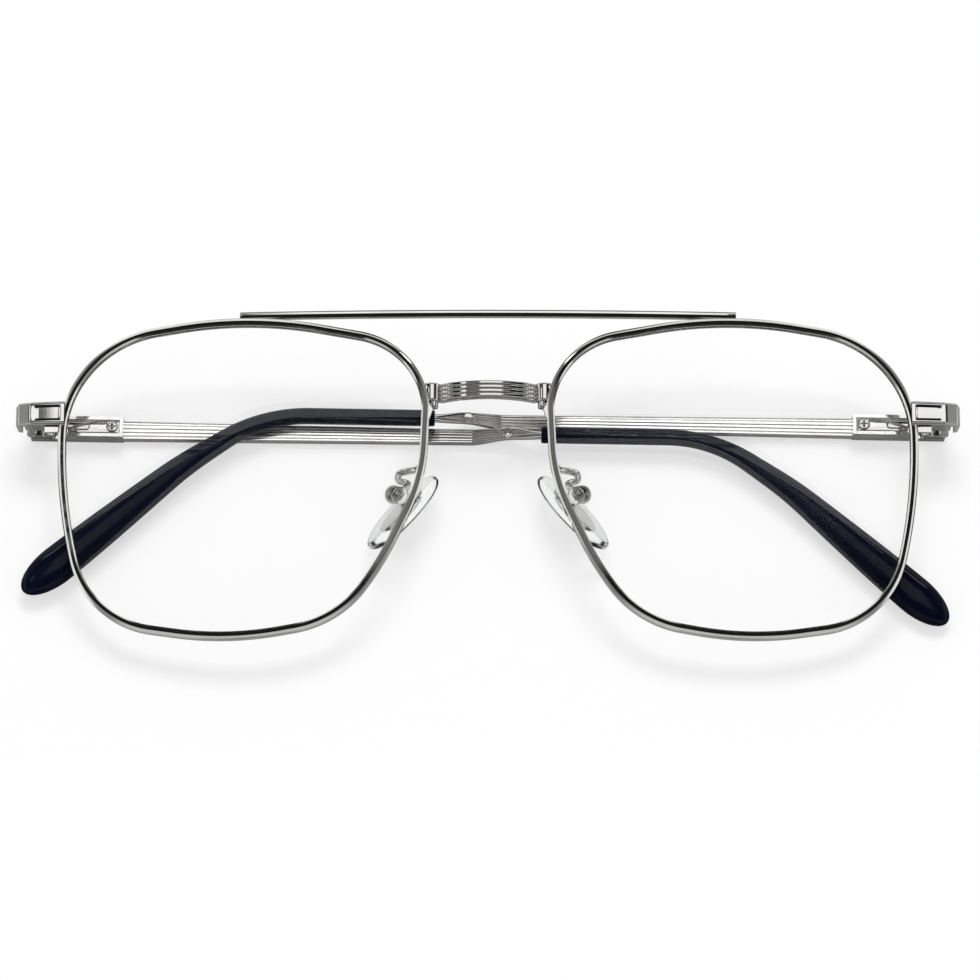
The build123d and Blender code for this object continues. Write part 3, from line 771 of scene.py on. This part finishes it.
def end_section(hollow, thickness):
    """Pairs of height and outward reach, round the strap's section."""
    half = END_HEIGHT / 2
    edge = [(END_EDGE * (1 - y), -END_EDGE * (1 - x)) for x, y in arc(84, 0, 7)]
    edge += [(END_EDGE, 0.0), (END_LIP, 0.0)]
    lower = [(-half + y, reach) for y, reach in edge]
    lower += [(-half + y, reach * hollow) for y, reach in HOLLOW_SLOPE]
    inner_half = half - HOLLOW_SLOPE[-1][0]
    middle = []
    for step in range(1, 9):
        v = 2 * step / 9 - 1
        middle.append((inner_half * v, (-HOLLOW_DEPTH - HOLLOW_CURVE * (1 - v * v)) * hollow))
    upper = [(-y, reach) for y, reach in reversed(lower)]
    return lower + middle + upper + [(half, -thickness), (-half, -thickness)]


def make_end_piece():
    """A bowed strap that turns back at its outer end, first by a facet, then by a round corner."""
    facet_x = END_HALF_SPAN - END_FACET_RUN
    corners = []
    for step in range(END_BOW_STEPS + 1):
        share = step / END_BOW_STEPS
        corners.append((mix(END_INNER_X, facet_x, share), END_FRONT_Z - END_BOW * share ** 2))
    corners += [(END_HALF_SPAN - END_FACET_INSET, END_FRONT_Z - END_FACET_DROP - END_BOW),
                (END_HALF_SPAN, END_FRONT_Z - END_CORNER_DROP), (END_HALF_SPAN, END_SIDE_Z)]
    radii = [END_BOW_RADIUS] * (END_BOW_STEPS - 1) + list(END_CORNER_RADII)
    line = spread(rounded_line(corners, radii, False, END_CHORD), END_LONGEST)
    front_run = facet_x - END_INNER_X
    rings = []
    for (point, normal), along in zip(line, run_lengths(line)):
        hollow = smooth((along - HOLLOW_START) / HOLLOW_START_FADE)
        hollow *= smooth((front_run - HOLLOW_END - along) / HOLLOW_END_FADE)
        lowered = END_TAPER * smooth(along / front_run)
        thinned = smooth((along - front_run + END_THINNING_RUN) / END_THINNING_RUN)
        thickness = mix(END_THICKNESS, END_SIDE_THICKNESS, thinned)
        ring = []
        for y, reach in end_section(hollow, thickness):
            held = point + normal * reach
            sunk = lowered * (y + END_HEIGHT / 2) / END_HEIGHT
            ring.append(Vector((held.x, END_CENTRE_Y + y - sunk, held.y)))
        rings.append(ring)
    return skin(rings)


for side, place in FRONT_SIDES:
    piece("end_strap_" + side, make_end_piece(), place, "front", "end_piece_" + side,
          "polished_steel", 16)


# Hinge forks: two round ears on a block behind each end piece

BARREL_RADIUS = 1.95
BARREL_HALF = 1.85
EAR_LOW, EAR_HIGH = 0.75, 1.62
EAR_NECK, EAR_EDGE = 1.15, 0.12
# The lowest ear's rounded foot, as pairs of height and inset
EAR_FOOT = ((0, 0.14), (0.05, 0.04), (0.12, 0))
FORK_BACK = BARREL_RADIUS + 0.15
FORK_FRONT = PIVOT_DEPTH - END_BACK_DEPTH + END_THICKNESS / 4
FORK_SIDE, FORK_TOP, FORK_BEVEL = 1.2, 1.0, 0.12
FORK_OVERLAP = 0.2


def ear_ring(y, inset):
    radius, neck = BARREL_RADIUS - inset, EAR_NECK - inset
    start = asin(neck / radius)
    back = FORK_BACK + FORK_OVERLAP
    ring = [Vector((neck, y, back)), Vector((-neck, y, back))]
    for step in range(41):
        angle = -start - (2 * pi - 2 * start) * step / 40
        ring.append(Vector((radius * sin(angle), y, radius * cos(angle))))
    return ring


def box_part(low, high, bevel):
    """A box between two corners, with its edges cut."""
    size, middle = high - low, (high + low) / 2
    cut = 0.5 - bevel / size.z
    rings = []
    for lift, inset in ((-0.5, bevel), (-cut, 0), (cut, 0), (0.5, bevel)):
        ring = rounded_box_ring(size.x - 2 * inset, size.y - 2 * inset, bevel, 2)
        rings.append([middle + Vector((x, y, lift * size.z)) for x, y in ring])
    return skin(rings)


def make_fork():
    lower = [ear_ring(-BARREL_HALF + y, inset) for y, inset in EAR_FOOT]
    upper = [ear_ring(EAR_LOW, 0), ear_ring(EAR_HIGH - EAR_EDGE, 0),
             ear_ring(EAR_HIGH, EAR_EDGE)]
    block = box_part(Vector((-BARREL_RADIUS, -BARREL_HALF, FORK_BACK)),
                     Vector((FORK_SIDE, FORK_TOP, FORK_FRONT)), FORK_BEVEL)
    return joined([skin(lower + [ear_ring(-EAR_LOW, 0)]), skin(upper), block])


for side, place in TEMPLE_SIDES:
    piece("hinge_ears_" + side, make_fork(), place, "front", "hinge_fork_" + side,
          "polished_steel", 30)


# Pad arms: round wire from the back of the rim, in a tight double bend, to the pad box

ARM_RADIUS = 0.5
ARM_FOOT_Y, ARM_FOOT_OUT, ARM_FOOT_SINK = 3.95, 0.2, 0.15
ARM_NECK_SHIFT, ARM_NECK_Z = 0.1, -4.4
ARM_ROUTE = (
    (10.6, 2.5, -6.0), (12.1, 2.35, -6.9), (13.5, 2.0, -7.2), (13.5, 0.95, -7.2),
    (12.3, 0.45, -6.8), (12.2, -0.2, -6.2), (13.0, -1.1, -5.2),
)


def curved_through(points, steps):
    """A smooth line through the points, with some steps between each two."""
    found = []
    for number in range(len(points) - 1):
        before = points[max(number - 1, 0)]
        here, there = points[number], points[number + 1]
        after = points[min(number + 2, len(points) - 1)]
        for step in range(steps):
            t = step / steps
            found.append(0.5 * (2 * here + (there - before) * t
                                + (2 * before - 5 * here + 4 * there - after) * t * t
                                + (3 * here - before - 3 * there + after) * t ** 3))
    return found + [points[-1]]


def wire(points, radius):
    rings = []
    side = None
    for number, point in enumerate(points):
        after, before = points[min(number + 1, len(points) - 1)], points[max(number - 1, 0)]
        ahead = (after - before).normalized()
        if side is None:
            side = ahead.orthogonal()
        side = (side - ahead * side.dot(ahead)).normalized()
        up = ahead.cross(side)
        rings.append([point + (side * x + up * y) * radius for x, y in circle(18)])
    return skin(rings)


def make_pad_arm():
    nose_side = [item for item in OUTLINE if item[0].x < 0]
    near = min(nose_side, key=lambda item: abs(item[0].y - ARM_FOOT_Y))
    held = near[0] + near[1] * ARM_FOOT_OUT
    foot = rim_place(held.x, held.y)
    points = [Vector((foot.x, foot.y, foot.z - RIM_HALF_DEPTH + ARM_FOOT_SINK)),
              Vector((foot.x + ARM_NECK_SHIFT, foot.y - ARM_NECK_SHIFT, ARM_NECK_Z))]
    points += [Vector(bend) for bend in ARM_ROUTE]
    return wire(curved_through(points, 9), ARM_RADIUS)


for side, place in FRONT_SIDES:
    piece("bent_pad_arm_" + side, make_pad_arm(), place, "front", "pad_arm_" + side,
          "polished_steel", 50)


# Temples: ribbed bar that narrows into a spear and a round neck

BAR_RIBS = 5
FLUTE = 0.11
CROWN, SPEAR_CROWN = 0.008, 0.024
CROWN_START, CROWN_RUN = 57.0, 4.0
FLUTE_STOP, FLUTE_FADE = 1.5, 0.5
# How square the section is on the bar, at the spear's middle and at the neck
BAR_POWERS = (9.0, 5.0, 2.0)
SPEAR_MIDDLE_Y = (TEMPLE_END_HEIGHT - SPEAR_MIDDLE_HEIGHT) / 2
BAR_CENTRE_Z = -TEMPLE_FACE_OFFSET + TEMPLE_THICKNESS / 2
BAR_STATIONS = (HOUSING_END - 0.4, HOUSING_END, 24.0, 36.0, 48.0, 58.0)
SPEAR_STEPS_START, SPEAR_STEP, NECK_LENGTH = 62.0, 0.35, 1.5


def bar_centre_z(s):
    """The bar's middle depth, which comes forward to the core along the spear."""
    share = min(max((s - SPEAR_START) / (SPEAR_END - SPEAR_START), 0), 1)
    return mix(BAR_CENTRE_Z, -CORE_OFFSET, share)


def bar_section(s):
    along = min(max((s - HOUSING_END) / (SPEAR_START - HOUSING_END), 0), 1)
    into_middle = smooth((s - SPEAR_START) / (SPEAR_MIDDLE - SPEAR_START))
    into_end = smooth((s - SPEAR_MIDDLE) / (SPEAR_END - SPEAR_MIDDLE))

    def blend(bar, middle, neck):
        return mix(mix(bar, middle, into_middle), neck, into_end)

    ribbed_height = mix(TEMPLE_HEIGHT, TEMPLE_END_HEIGHT, along)
    height = blend(ribbed_height, SPEAR_MIDDLE_HEIGHT, CORE_RADIUS * 2)
    thickness = blend(TEMPLE_THICKNESS, SPEAR_MIDDLE_THICKNESS, CORE_RADIUS * 2)
    centre_y, centre_z = blend(0, SPEAR_MIDDLE_Y, CORE_RISE), bar_centre_z(s)
    power = blend(*BAR_POWERS)
    fading = 1 - smooth((s - SPEAR_MIDDLE + FLUTE_STOP) / FLUTE_FADE)
    flute = FLUTE * fading
    crown = mix(CROWN, SPEAR_CROWN, smooth((s - CROWN_START) / CROWN_RUN)) * fading
    right = []
    steps = BAR_RIBS * 14
    for step in range(steps + 1):
        turned = pi * step / steps
        v = mix(-cos(turned), 2 * step / steps - 1, 0.7 * (1 - into_end))
        wide = thickness / 2 * max(0, 1 - abs(v) ** power) ** (1 / power)
        local = ((v + 1) / 2 * BAR_RIBS) % 1 if step < steps else 0
        groove = abs(2 * local - 1)
        near_edge = smooth((1 - abs(v)) / 0.1)
        wide -= (flute * groove ** 12 + crown * groove ** 2) * near_edge
        right.append((wide, v * height / 2))
    ring = right + [(-z, y) for z, y in right[-2:0:-1]]
    return [Vector((s, centre_y + y, centre_z + z)) for z, y in ring]


def make_temple_bar():
    stations = list(BAR_STATIONS)
    s = SPEAR_STEPS_START
    while s < SPEAR_END + NECK_LENGTH:
        stations.append(s)
        s += SPEAR_STEP
    return skin([bar_section(s) for s in stations])


# Dark tips

TIP_CHORD, TIP_LONGEST = 0.7, 0.9
# The open end's rounded edge, as pairs of share of the length and share of the section
TIP_MOUTH = ((0.0, 0.86), (0.0012, 0.94), (0.003, 0.985), (0.006, 1.0))
TIP_MOUTH_END, TIP_CAP_GAP, TIP_CAP_DEG = 0.012, 0.003, 88.5

tip_drop = (TIP_SECOND_BEND - TIP_BEND_START) * tan(radians(TIP_FIRST_ANGLE_DEG))
tip_last_drop = (TIP_END - TIP_SECOND_BEND) * tan(radians(TIP_SECOND_ANGLE_DEG))
tip_corners = [
    (SPEAR_END, CORE_RISE), (TIP_BEND_START, CORE_RISE), (TIP_SECOND_BEND, CORE_RISE - tip_drop),
    (TIP_END, CORE_RISE - tip_drop - tip_last_drop)]
TIP_LINE = spread(rounded_line(tip_corners, TIP_RADII, False, TIP_CHORD), TIP_LONGEST)
TIP_LENGTHS = run_lengths(TIP_LINE)


def tip_ring(point, normal, share, rounding):
    swell = smooth((share - TIP_SWELL_START) / (TIP_SWELL_END - TIP_SWELL_START))
    tall = TIP_HEIGHT / 2 * (1 + TIP_HEIGHT_SWELL * swell) * rounding
    thick = TIP_THICKNESS / 2 * (1 + TIP_THICKNESS_SWELL * swell) * rounding
    ring = []
    for across, up in circle(40):
        held = point + normal * tall * up
        ring.append(Vector((held.x, held.y, -CORE_OFFSET + thick * across)))
    return ring


def on_tip_line(length):
    """The point and the normal at a length along the tip."""
    last = len(TIP_LINE) - 1
    number = next((n for n in range(1, last) if length <= TIP_LENGTHS[n]), last)
    start, end = TIP_LENGTHS[number - 1], TIP_LENGTHS[number]
    share = (length - start) / (end - start)
    a, b = TIP_LINE[number - 1], TIP_LINE[number]
    return a[0].lerp(b[0], share), a[1].lerp(b[1], share).normalized()


def make_tip():
    total = TIP_LENGTHS[-1]
    rings = [tip_ring(*on_tip_line(total * share), share, rounding)
             for share, rounding in TIP_MOUTH]
    for (point, normal), length in zip(TIP_LINE, TIP_LENGTHS):
        share = length / total
        if TIP_MOUTH_END < share < TIP_CAP_START - TIP_CAP_GAP:
            rings.append(tip_ring(point, normal, share, 1.0))
    for rounding, along in arc(0, TIP_CAP_DEG, 20):
        share = TIP_CAP_START + (1 - TIP_CAP_START) * along
        rings.append(tip_ring(*on_tip_line(total * share), share, rounding))
    return skin(rings)


# Hinge covers with their screws, and the rivets on the spears

COVER_START, COVER_END = 3.4 + 0.85, HOUSING_END - 0.55
COVER_TOP_Z = -0.55
COVER_HALF, COVER_ROUND = 1.05, 0.2
LEAF_END, LEAF_HALF = 7.5, 0.62
PLATE_EDGE = 0.17
# Layers of the plate and of the leaf on it, as pairs of lift and inset
PLATE_LAYERS = ((-0.35, 0), (-0.17, 0), (-0.1, PLATE_EDGE))
LEAF_LAYERS = ((-0.12, 0), (0.03, 0), (0.1, PLATE_EDGE))

SCREW_INSET = 1.7
# The screw's shank and rim, as pairs of lift over the cover and radius
SCREW_SIDE = ((-1.85, 0.4), (-0.02, 0.4), (-0.01, 0.88), (0.15, 0.9))
SCREW_FACE, SCREW_FACE_RADIUS, SCREW_DOME = 0.225, 0.70, 0.03
CROSS_DEPTH, CROSS_HALF, CROSS_REACH, CROSS_FADE = 0.075, 0.19, 0.62, 0.1
# Half a rivet, from its pin to its face, as pairs of lift over the spear and radius
RIVET_HALF = ((-0.2, 0.35), (-0.1, 0.76), (0.14, 0.78), (0.21, 0.74), (0.24, 0.66),
              (0.24, 0.56), (0.19, 0.52), (0.19, 0.3), (0.21, 0.1))


def plate_ring(inset, z):
    length = COVER_END - COVER_START - 2 * inset
    middle = (COVER_START + COVER_END) / 2
    ring = rounded_box_ring(length, 2 * (COVER_HALF - inset), COVER_ROUND, 4)
    return [Vector((middle + x, y, z)) for x, y in ring]


def leaf_ring(inset, z):
    """Points round a leaf with one rounded end and one square end."""
    half = LEAF_HALF - inset
    ring = [Vector((COVER_START, -half, z)), Vector((COVER_START, half, z))]
    for x, y in arc(90, -90, 16):
        ring.append(Vector((LEAF_END - inset - half + half * x, half * y, z)))
    return ring


def make_cover():
    """The sunk cover plate, with the rounded end of the hinge's arm lying on it."""
    plate = skin([plate_ring(inset, COVER_TOP_Z + lift) for lift, inset in PLATE_LAYERS])
    leaf = skin([leaf_ring(inset, COVER_TOP_Z + lift) for lift, inset in LEAF_LAYERS])
    return joined([plate, leaf])


def faced_disc(x, y, profile, recess=None):
    """Rings round a line along Z, from pairs of lift and radius, with an optional recess."""
    rings = []
    for z, radius in profile:
        ring = []
        for across, up in circle(64):
            across_x, across_y = radius * across, radius * up
            sunk = recess(across_x, across_y, radius) if recess else 0
            ring.append(Vector((x + across_x, y + across_y, z - sunk)))
        rings.append(ring)
    return skin(rings)


def cross_recess(x, y, radius):
    """How deep a V-shaped cross is cut at a point of the screw's face."""
    held = smooth((CROSS_REACH - radius) / CROSS_FADE)
    return CROSS_DEPTH * held * max(0, 1 - min(abs(x), abs(y)) / CROSS_HALF)


def make_cover_screw():
    profile = [(COVER_TOP_Z + lift, radius) for lift, radius in SCREW_SIDE]
    for step in range(20):
        radius = SCREW_FACE_RADIUS * (1 - step / 20)
        lift = SCREW_FACE + SCREW_DOME * (1 - (radius / SCREW_FACE_RADIUS) ** 2)
        profile.append((COVER_TOP_Z + lift, radius))
    return faced_disc(HOUSING_END - SCREW_INSET, 0, profile, cross_recess)


def make_rivet():
    """A plain round head on each face of the spear, joined by a pin."""
    z, half = bar_centre_z(SPEAR_MIDDLE), SPEAR_MIDDLE_THICKNESS / 2
    profile = [(z - half - lift, radius) for lift, radius in reversed(RIVET_HALF)]
    profile += [(z + half + lift, radius) for lift, radius in RIVET_HALF]
    return faced_disc(SPEAR_MIDDLE, SPEAR_MIDDLE_Y, profile)


TEMPLE_PIECES = (
    ("cross_screw_", make_cover_screw, "cover_screw_", "screw_steel", 40),
    ("plain_rivet_", make_rivet, "temple_rivet_", "polished_steel", 30),
    ("cover_leaf_", make_cover, "slider_cover_", "polished_steel", 30),
    ("temple_ribbed_", make_temple_bar, "temple_bar_", "fluted_steel", 30),
    ("tip_sleeve_", make_tip, "temple_tip_", "navy_acetate", 60),
)
for side, place in TEMPLE_SIDES:
    for name, make, node, slot, sharp_deg in TEMPLE_PIECES:
        piece(name + side, make(), place, "temple_" + side, node + side, slot, sharp_deg)


# Springs: a fixed coil on each temple; the real springs shorten as their temple is pulled past open

SPRING_START, SPRING_STOP = 4.25, 8.85
SPRING_RADIUS, SPRING_WIRE, SPRING_TURNS = 0.52, 0.11, 6
SPRING_Z = -1.65
SPRING_TURN_STEPS = 16


def make_spring():
    low, high = SPRING_START + SPRING_WIRE, SPRING_STOP - SPRING_WIRE
    steps = SPRING_TURNS * SPRING_TURN_STEPS
    points = []
    for step in range(steps + 1):
        angle = 2 * pi * step / SPRING_TURN_STEPS
        points.append(Vector((mix(low, high, step / steps), SPRING_RADIUS * cos(angle),
                              SPRING_Z + SPRING_RADIUS * sin(angle))))
    return wire(points, SPRING_WIRE)


for side, place in TEMPLE_SIDES:
    coil = piece("spring_coil_" + side, make_spring(), place, "temple_" + side,
                 "hinge_spring_" + side, "spring_steel", 60)
    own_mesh(coil)


# Nose pads: soft clear ovals round their metal cores

PAD_EDGE_POWER, PAD_CROWN_POWER, PAD_OUTLINE_POWER = 0.55, 0.8, 0.92


def raised(value, power):
    """A value's power, with its own sign."""
    return copysign(abs(value) ** power, value)


def make_pad():
    rings = []
    for inward, lift in arc(-89, 89, 24):
        size = inward ** PAD_EDGE_POWER
        height = raised(lift, PAD_CROWN_POWER) * PAD_THICKNESS / 2
        ring = []
        for across, up in circle(48):
            x = size * PAD_LENGTH / 2 * raised(across, PAD_OUTLINE_POWER)
            y = size * PAD_WIDTH / 2 * raised(up, PAD_OUTLINE_POWER)
            ring.append(Vector((PAD_SHIFT + x, y, PAD_STANDOFF + PAD_THICKNESS / 2 + height)))
        rings.append(ring)
    return skin(rings)


for side, place in FRONT_SIDES:
    piece("pad_soft_" + side, make_pad(), place @ RIGHT_PAD, "nose_pad_" + side,
          "nose_pad_" + side, "clear_silicone", 70)


# Node helpers for the floor and the world

WHITE = (1, 1, 1, 1)


def times(tree, one, other):
    return add_node(tree, "Math", {0: one, 1: other}, operation="MULTIPLY").outputs[0]


def rise(tree, value, low, high):
    """A share that goes softly from none at low to all at high, which can be the lower of them."""
    none, full = (0.0, 1.0) if low < high else (1.0, 0.0)
    inputs = {"Value": value, "From Min": min(low, high), "From Max": max(low, high),
              "To Min": none, "To Max": full}
    node = add_node(tree, "MapRange", inputs, interpolation_type="SMOOTHSTEP")
    return node.outputs["Result"]


def between(tree, value, start, full, end=None, falling=None):
    """A share that rises softly from start to full, and falls again from falling to end."""
    if end is None:
        return rise(tree, value, start, full)
    return times(tree, rise(tree, value, start, full), rise(tree, value, end, falling))


def layer(tree, under, share, grey):
    """A grey laid over another colour where share is one."""
    inputs = {"Factor": share, "A": under, "B": (grey, grey, grey, 1)}
    return add_node(tree, "Mix", inputs, data_type="RGBA").outputs["Result"]


def cosine(tree, place, direction):
    node = add_node(tree, "VectorMath", {0: place, 1: direction}, operation="DOT_PRODUCT")
    return node.outputs["Value"]


def mixed(tree, share, one, other):
    """One shader that gives way to another where share is one."""
    return add_node(tree, "MixShader", {"Fac": share, 1: one, 2: other}).outputs[0]


# Floor, in metres

FLOOR_HALF, FLOOR_DROP = 1.2, 0.0001
FLOOR_COLOUR, FLOOR_GLOW = (0.42, 0.42, 0.42), 0.58
OPEN_BEYOND = (0.074, 0.028, 1)
OPEN_START, OPEN_FULL = 0.006, 0.022


def floor():
    """A pale floor that fades out, so a temple that opens down past it still shows."""
    half = FLOOR_HALF
    mesh = bpy.data.meshes.new("floor")
    mesh.from_pydata(
        [(-half, -half, 0), (half, -half, 0), (half, half, 0), (-half, half, 0)], [],
        [(0, 1, 2, 3)])
    obj = add_object("floor", mesh)
    obj.location.z = -FLOOR_DROP
    material, tree, shader = new_material("floor_finish", FLOOR_COLOUR, 0.0, 0.9)
    path = add_node(tree, "LightPath", {}).outputs
    seen = {0: path["Is Camera Ray"], 1: path["Is Transmission Ray"]}
    straight = add_node(tree, "Math", seen, operation="MAXIMUM").outputs[0]
    glow = add_node(
        tree, "Emission", {"Color": WHITE, "Strength": times(tree, straight, FLOOR_GLOW)})
    both = add_node(tree, "AddShader", {0: shader.outputs[0], 1: glow.outputs[0]})
    outside = add_node(tree, "TexCoord", {}).outputs["Object"]
    for operation, value in (
            ("ABSOLUTE", (0, 0, 0)), ("SUBTRACT", OPEN_BEYOND), ("MAXIMUM", (0, 0, 0))):
        step = add_node(tree, "VectorMath", {0: outside, 1: value}, operation=operation)
        outside = step.outputs["Vector"]
    away = add_node(tree, "VectorMath", {0: outside}, operation="LENGTH").outputs["Value"]
    open_part = times(
        tree, between(tree, away, OPEN_START, OPEN_FULL), path["Is Camera Ray"])
    clear = add_node(tree, "BsdfTransparent", {})
    faded = mixed(tree, open_part, both.outputs[0], clear.outputs[0])
    tree.links.new(faded, tree.nodes["Material Output"].inputs["Surface"])
    mesh.materials.append(material)


# Light. What metal sees is placed by its cosines with three directions: towards the camera,
# across and upward. A pair says where a grey starts and is full, and a box has two each way.

SOFT_LIGHT = 0.62
LOW_ROOM_COLOUR, ROOM_EDGE, ROOM_GREY = (0.72, 0.72, 0.72, 1), (-0.8, -0.5), 0.22
SIDE_WALLS = ((0.55, 0.75, 0.36), (0.78, 0.84, 1.15), (0.93, 0.955, 0.04))
UPPER_WALL, UPPER_GREY = (0.70, 0.77), 1.1
DARK_ENDS, DARK_END_GREY = (0.915, 0.94), 0.03
DARK_FRAME, DARK_FRAME_GREY = (0.62, 0.70), 0.014
STRIP_UPWARD, STRIP_ACROSS = (0.585, 0.60, 0.655, 0.64), (0.38, 0.42, 0.57, 0.53)
STRIP_LIGHT = 7.0
# A faint halo, a small bright box at one side and the main box: across, upward and grey
SOFT_BOXES = (
    ((-0.47, -0.42, 0.50, 0.45), (-0.30, -0.24, 0.30, 0.24), 0.20),
    ((-0.595, -0.565, -0.46, -0.50), (-0.14, -0.10, 0.14, 0.10), 2.0),
    ((-0.22, -0.14, 0.36, 0.28), (-0.22, -0.15, 0.35, 0.28), 1.35),
)


def background(tree, colour, strength):
    inputs = {"Color": colour, "Strength": strength}
    return add_node(tree, "Background", inputs).outputs[0]


def sky():
    """Soft even light. Metal sees soft boxes in a dark frame, and a pale room beyond it."""
    world = bpy.data.worlds.new("studio")
    bpy.context.scene.world = world
    world.use_nodes = True
    tree = world.node_tree
    tree.nodes.clear()
    place = add_node(tree, "TexCoord", {}).outputs["Generated"]
    angle = radians(CAMERA_TILT_DEG) - LYING_TILT
    towards = cosine(tree, place, (0, sin(angle), cos(angle)))
    across = cosine(tree, place, (1, 0, 0))
    upward = cosine(tree, place, (0, cos(angle), -sin(angle)))

    def box(across_edges, upward_edges):
        return times(tree, between(tree, across, *across_edges),
                     between(tree, upward, *upward_edges))

    seen = layer(tree, LOW_ROOM_COLOUR, between(tree, upward, *ROOM_EDGE), ROOM_GREY)
    for side in (-1, 1):
        for start, full, grey in SIDE_WALLS:
            wall = between(tree, across, start * side, full * side)
            seen = layer(tree, seen, wall, grey)
    seen = layer(tree, seen, between(tree, upward, *UPPER_WALL), UPPER_GREY)
    for side in (-1, 1):
        end = between(tree, upward, *(edge * side for edge in DARK_ENDS))
        seen = layer(tree, seen, end, DARK_END_GREY)
    seen = layer(tree, seen, between(tree, towards, *DARK_FRAME), DARK_FRAME_GREY)
    for side in (-1, 1):
        strip = box([edge * side for edge in STRIP_ACROSS], STRIP_UPWARD)
        seen = layer(tree, seen, strip, STRIP_LIGHT)
    for across_edges, upward_edges, grey in SOFT_BOXES:
        seen = layer(tree, seen, box(across_edges, upward_edges), grey)
    path = add_node(tree, "LightPath", {}).outputs
    lit = mixed(tree, path["Is Glossy Ray"], background(tree, WHITE, SOFT_LIGHT),
                background(tree, seen, 1.0))
    shown = mixed(tree, path["Is Camera Ray"], lit, background(tree, WHITE, 1.0))
    add_node(tree, "OutputWorld", {"Surface": shown})


def lamp(name, location, size, power):
    """A soft rectangle of light that looks at the object, and isn't itself reflected."""
    data = bpy.data.lights.new(name, "AREA")
    data.shape = "RECTANGLE"
    data.size, data.size_y = size
    data.energy = power
    obj = add_object(name, data)
    obj.location = location
    obj.rotation_euler = (-Vector(location)).to_track_quat("-Z", "Y").to_euler()
    obj.visible_glossy = False


def camera():
    data = bpy.data.cameras.new("camera")
    focal_pixels = PIXELS_PER_MM * CAMERA_DISTANCE
    data.sensor_width = 36.0
    data.lens = focal_pixels * data.sensor_width / IMAGE_WIDTH
    obj = add_object("camera", data)
    angle = radians(CAMERA_TILT_DEG)
    back = Vector((0, -sin(angle), cos(angle)))
    target = Vector(CAMERA_TARGET)
    obj.location = FRONT @ (target + back * CAMERA_DISTANCE)
    aim = (FRONT @ target) - obj.location
    obj.rotation_euler = aim.to_track_quat("-Z", "Y").to_euler()
    bpy.context.scene.camera = obj


floor()
sky()
lamp("softbox_back", location=(0.05, 0.55, 0.75), size=(0.5, 0.3), power=4.5)
camera()
bpy.context.scene.view_settings.view_transform = "Standard"
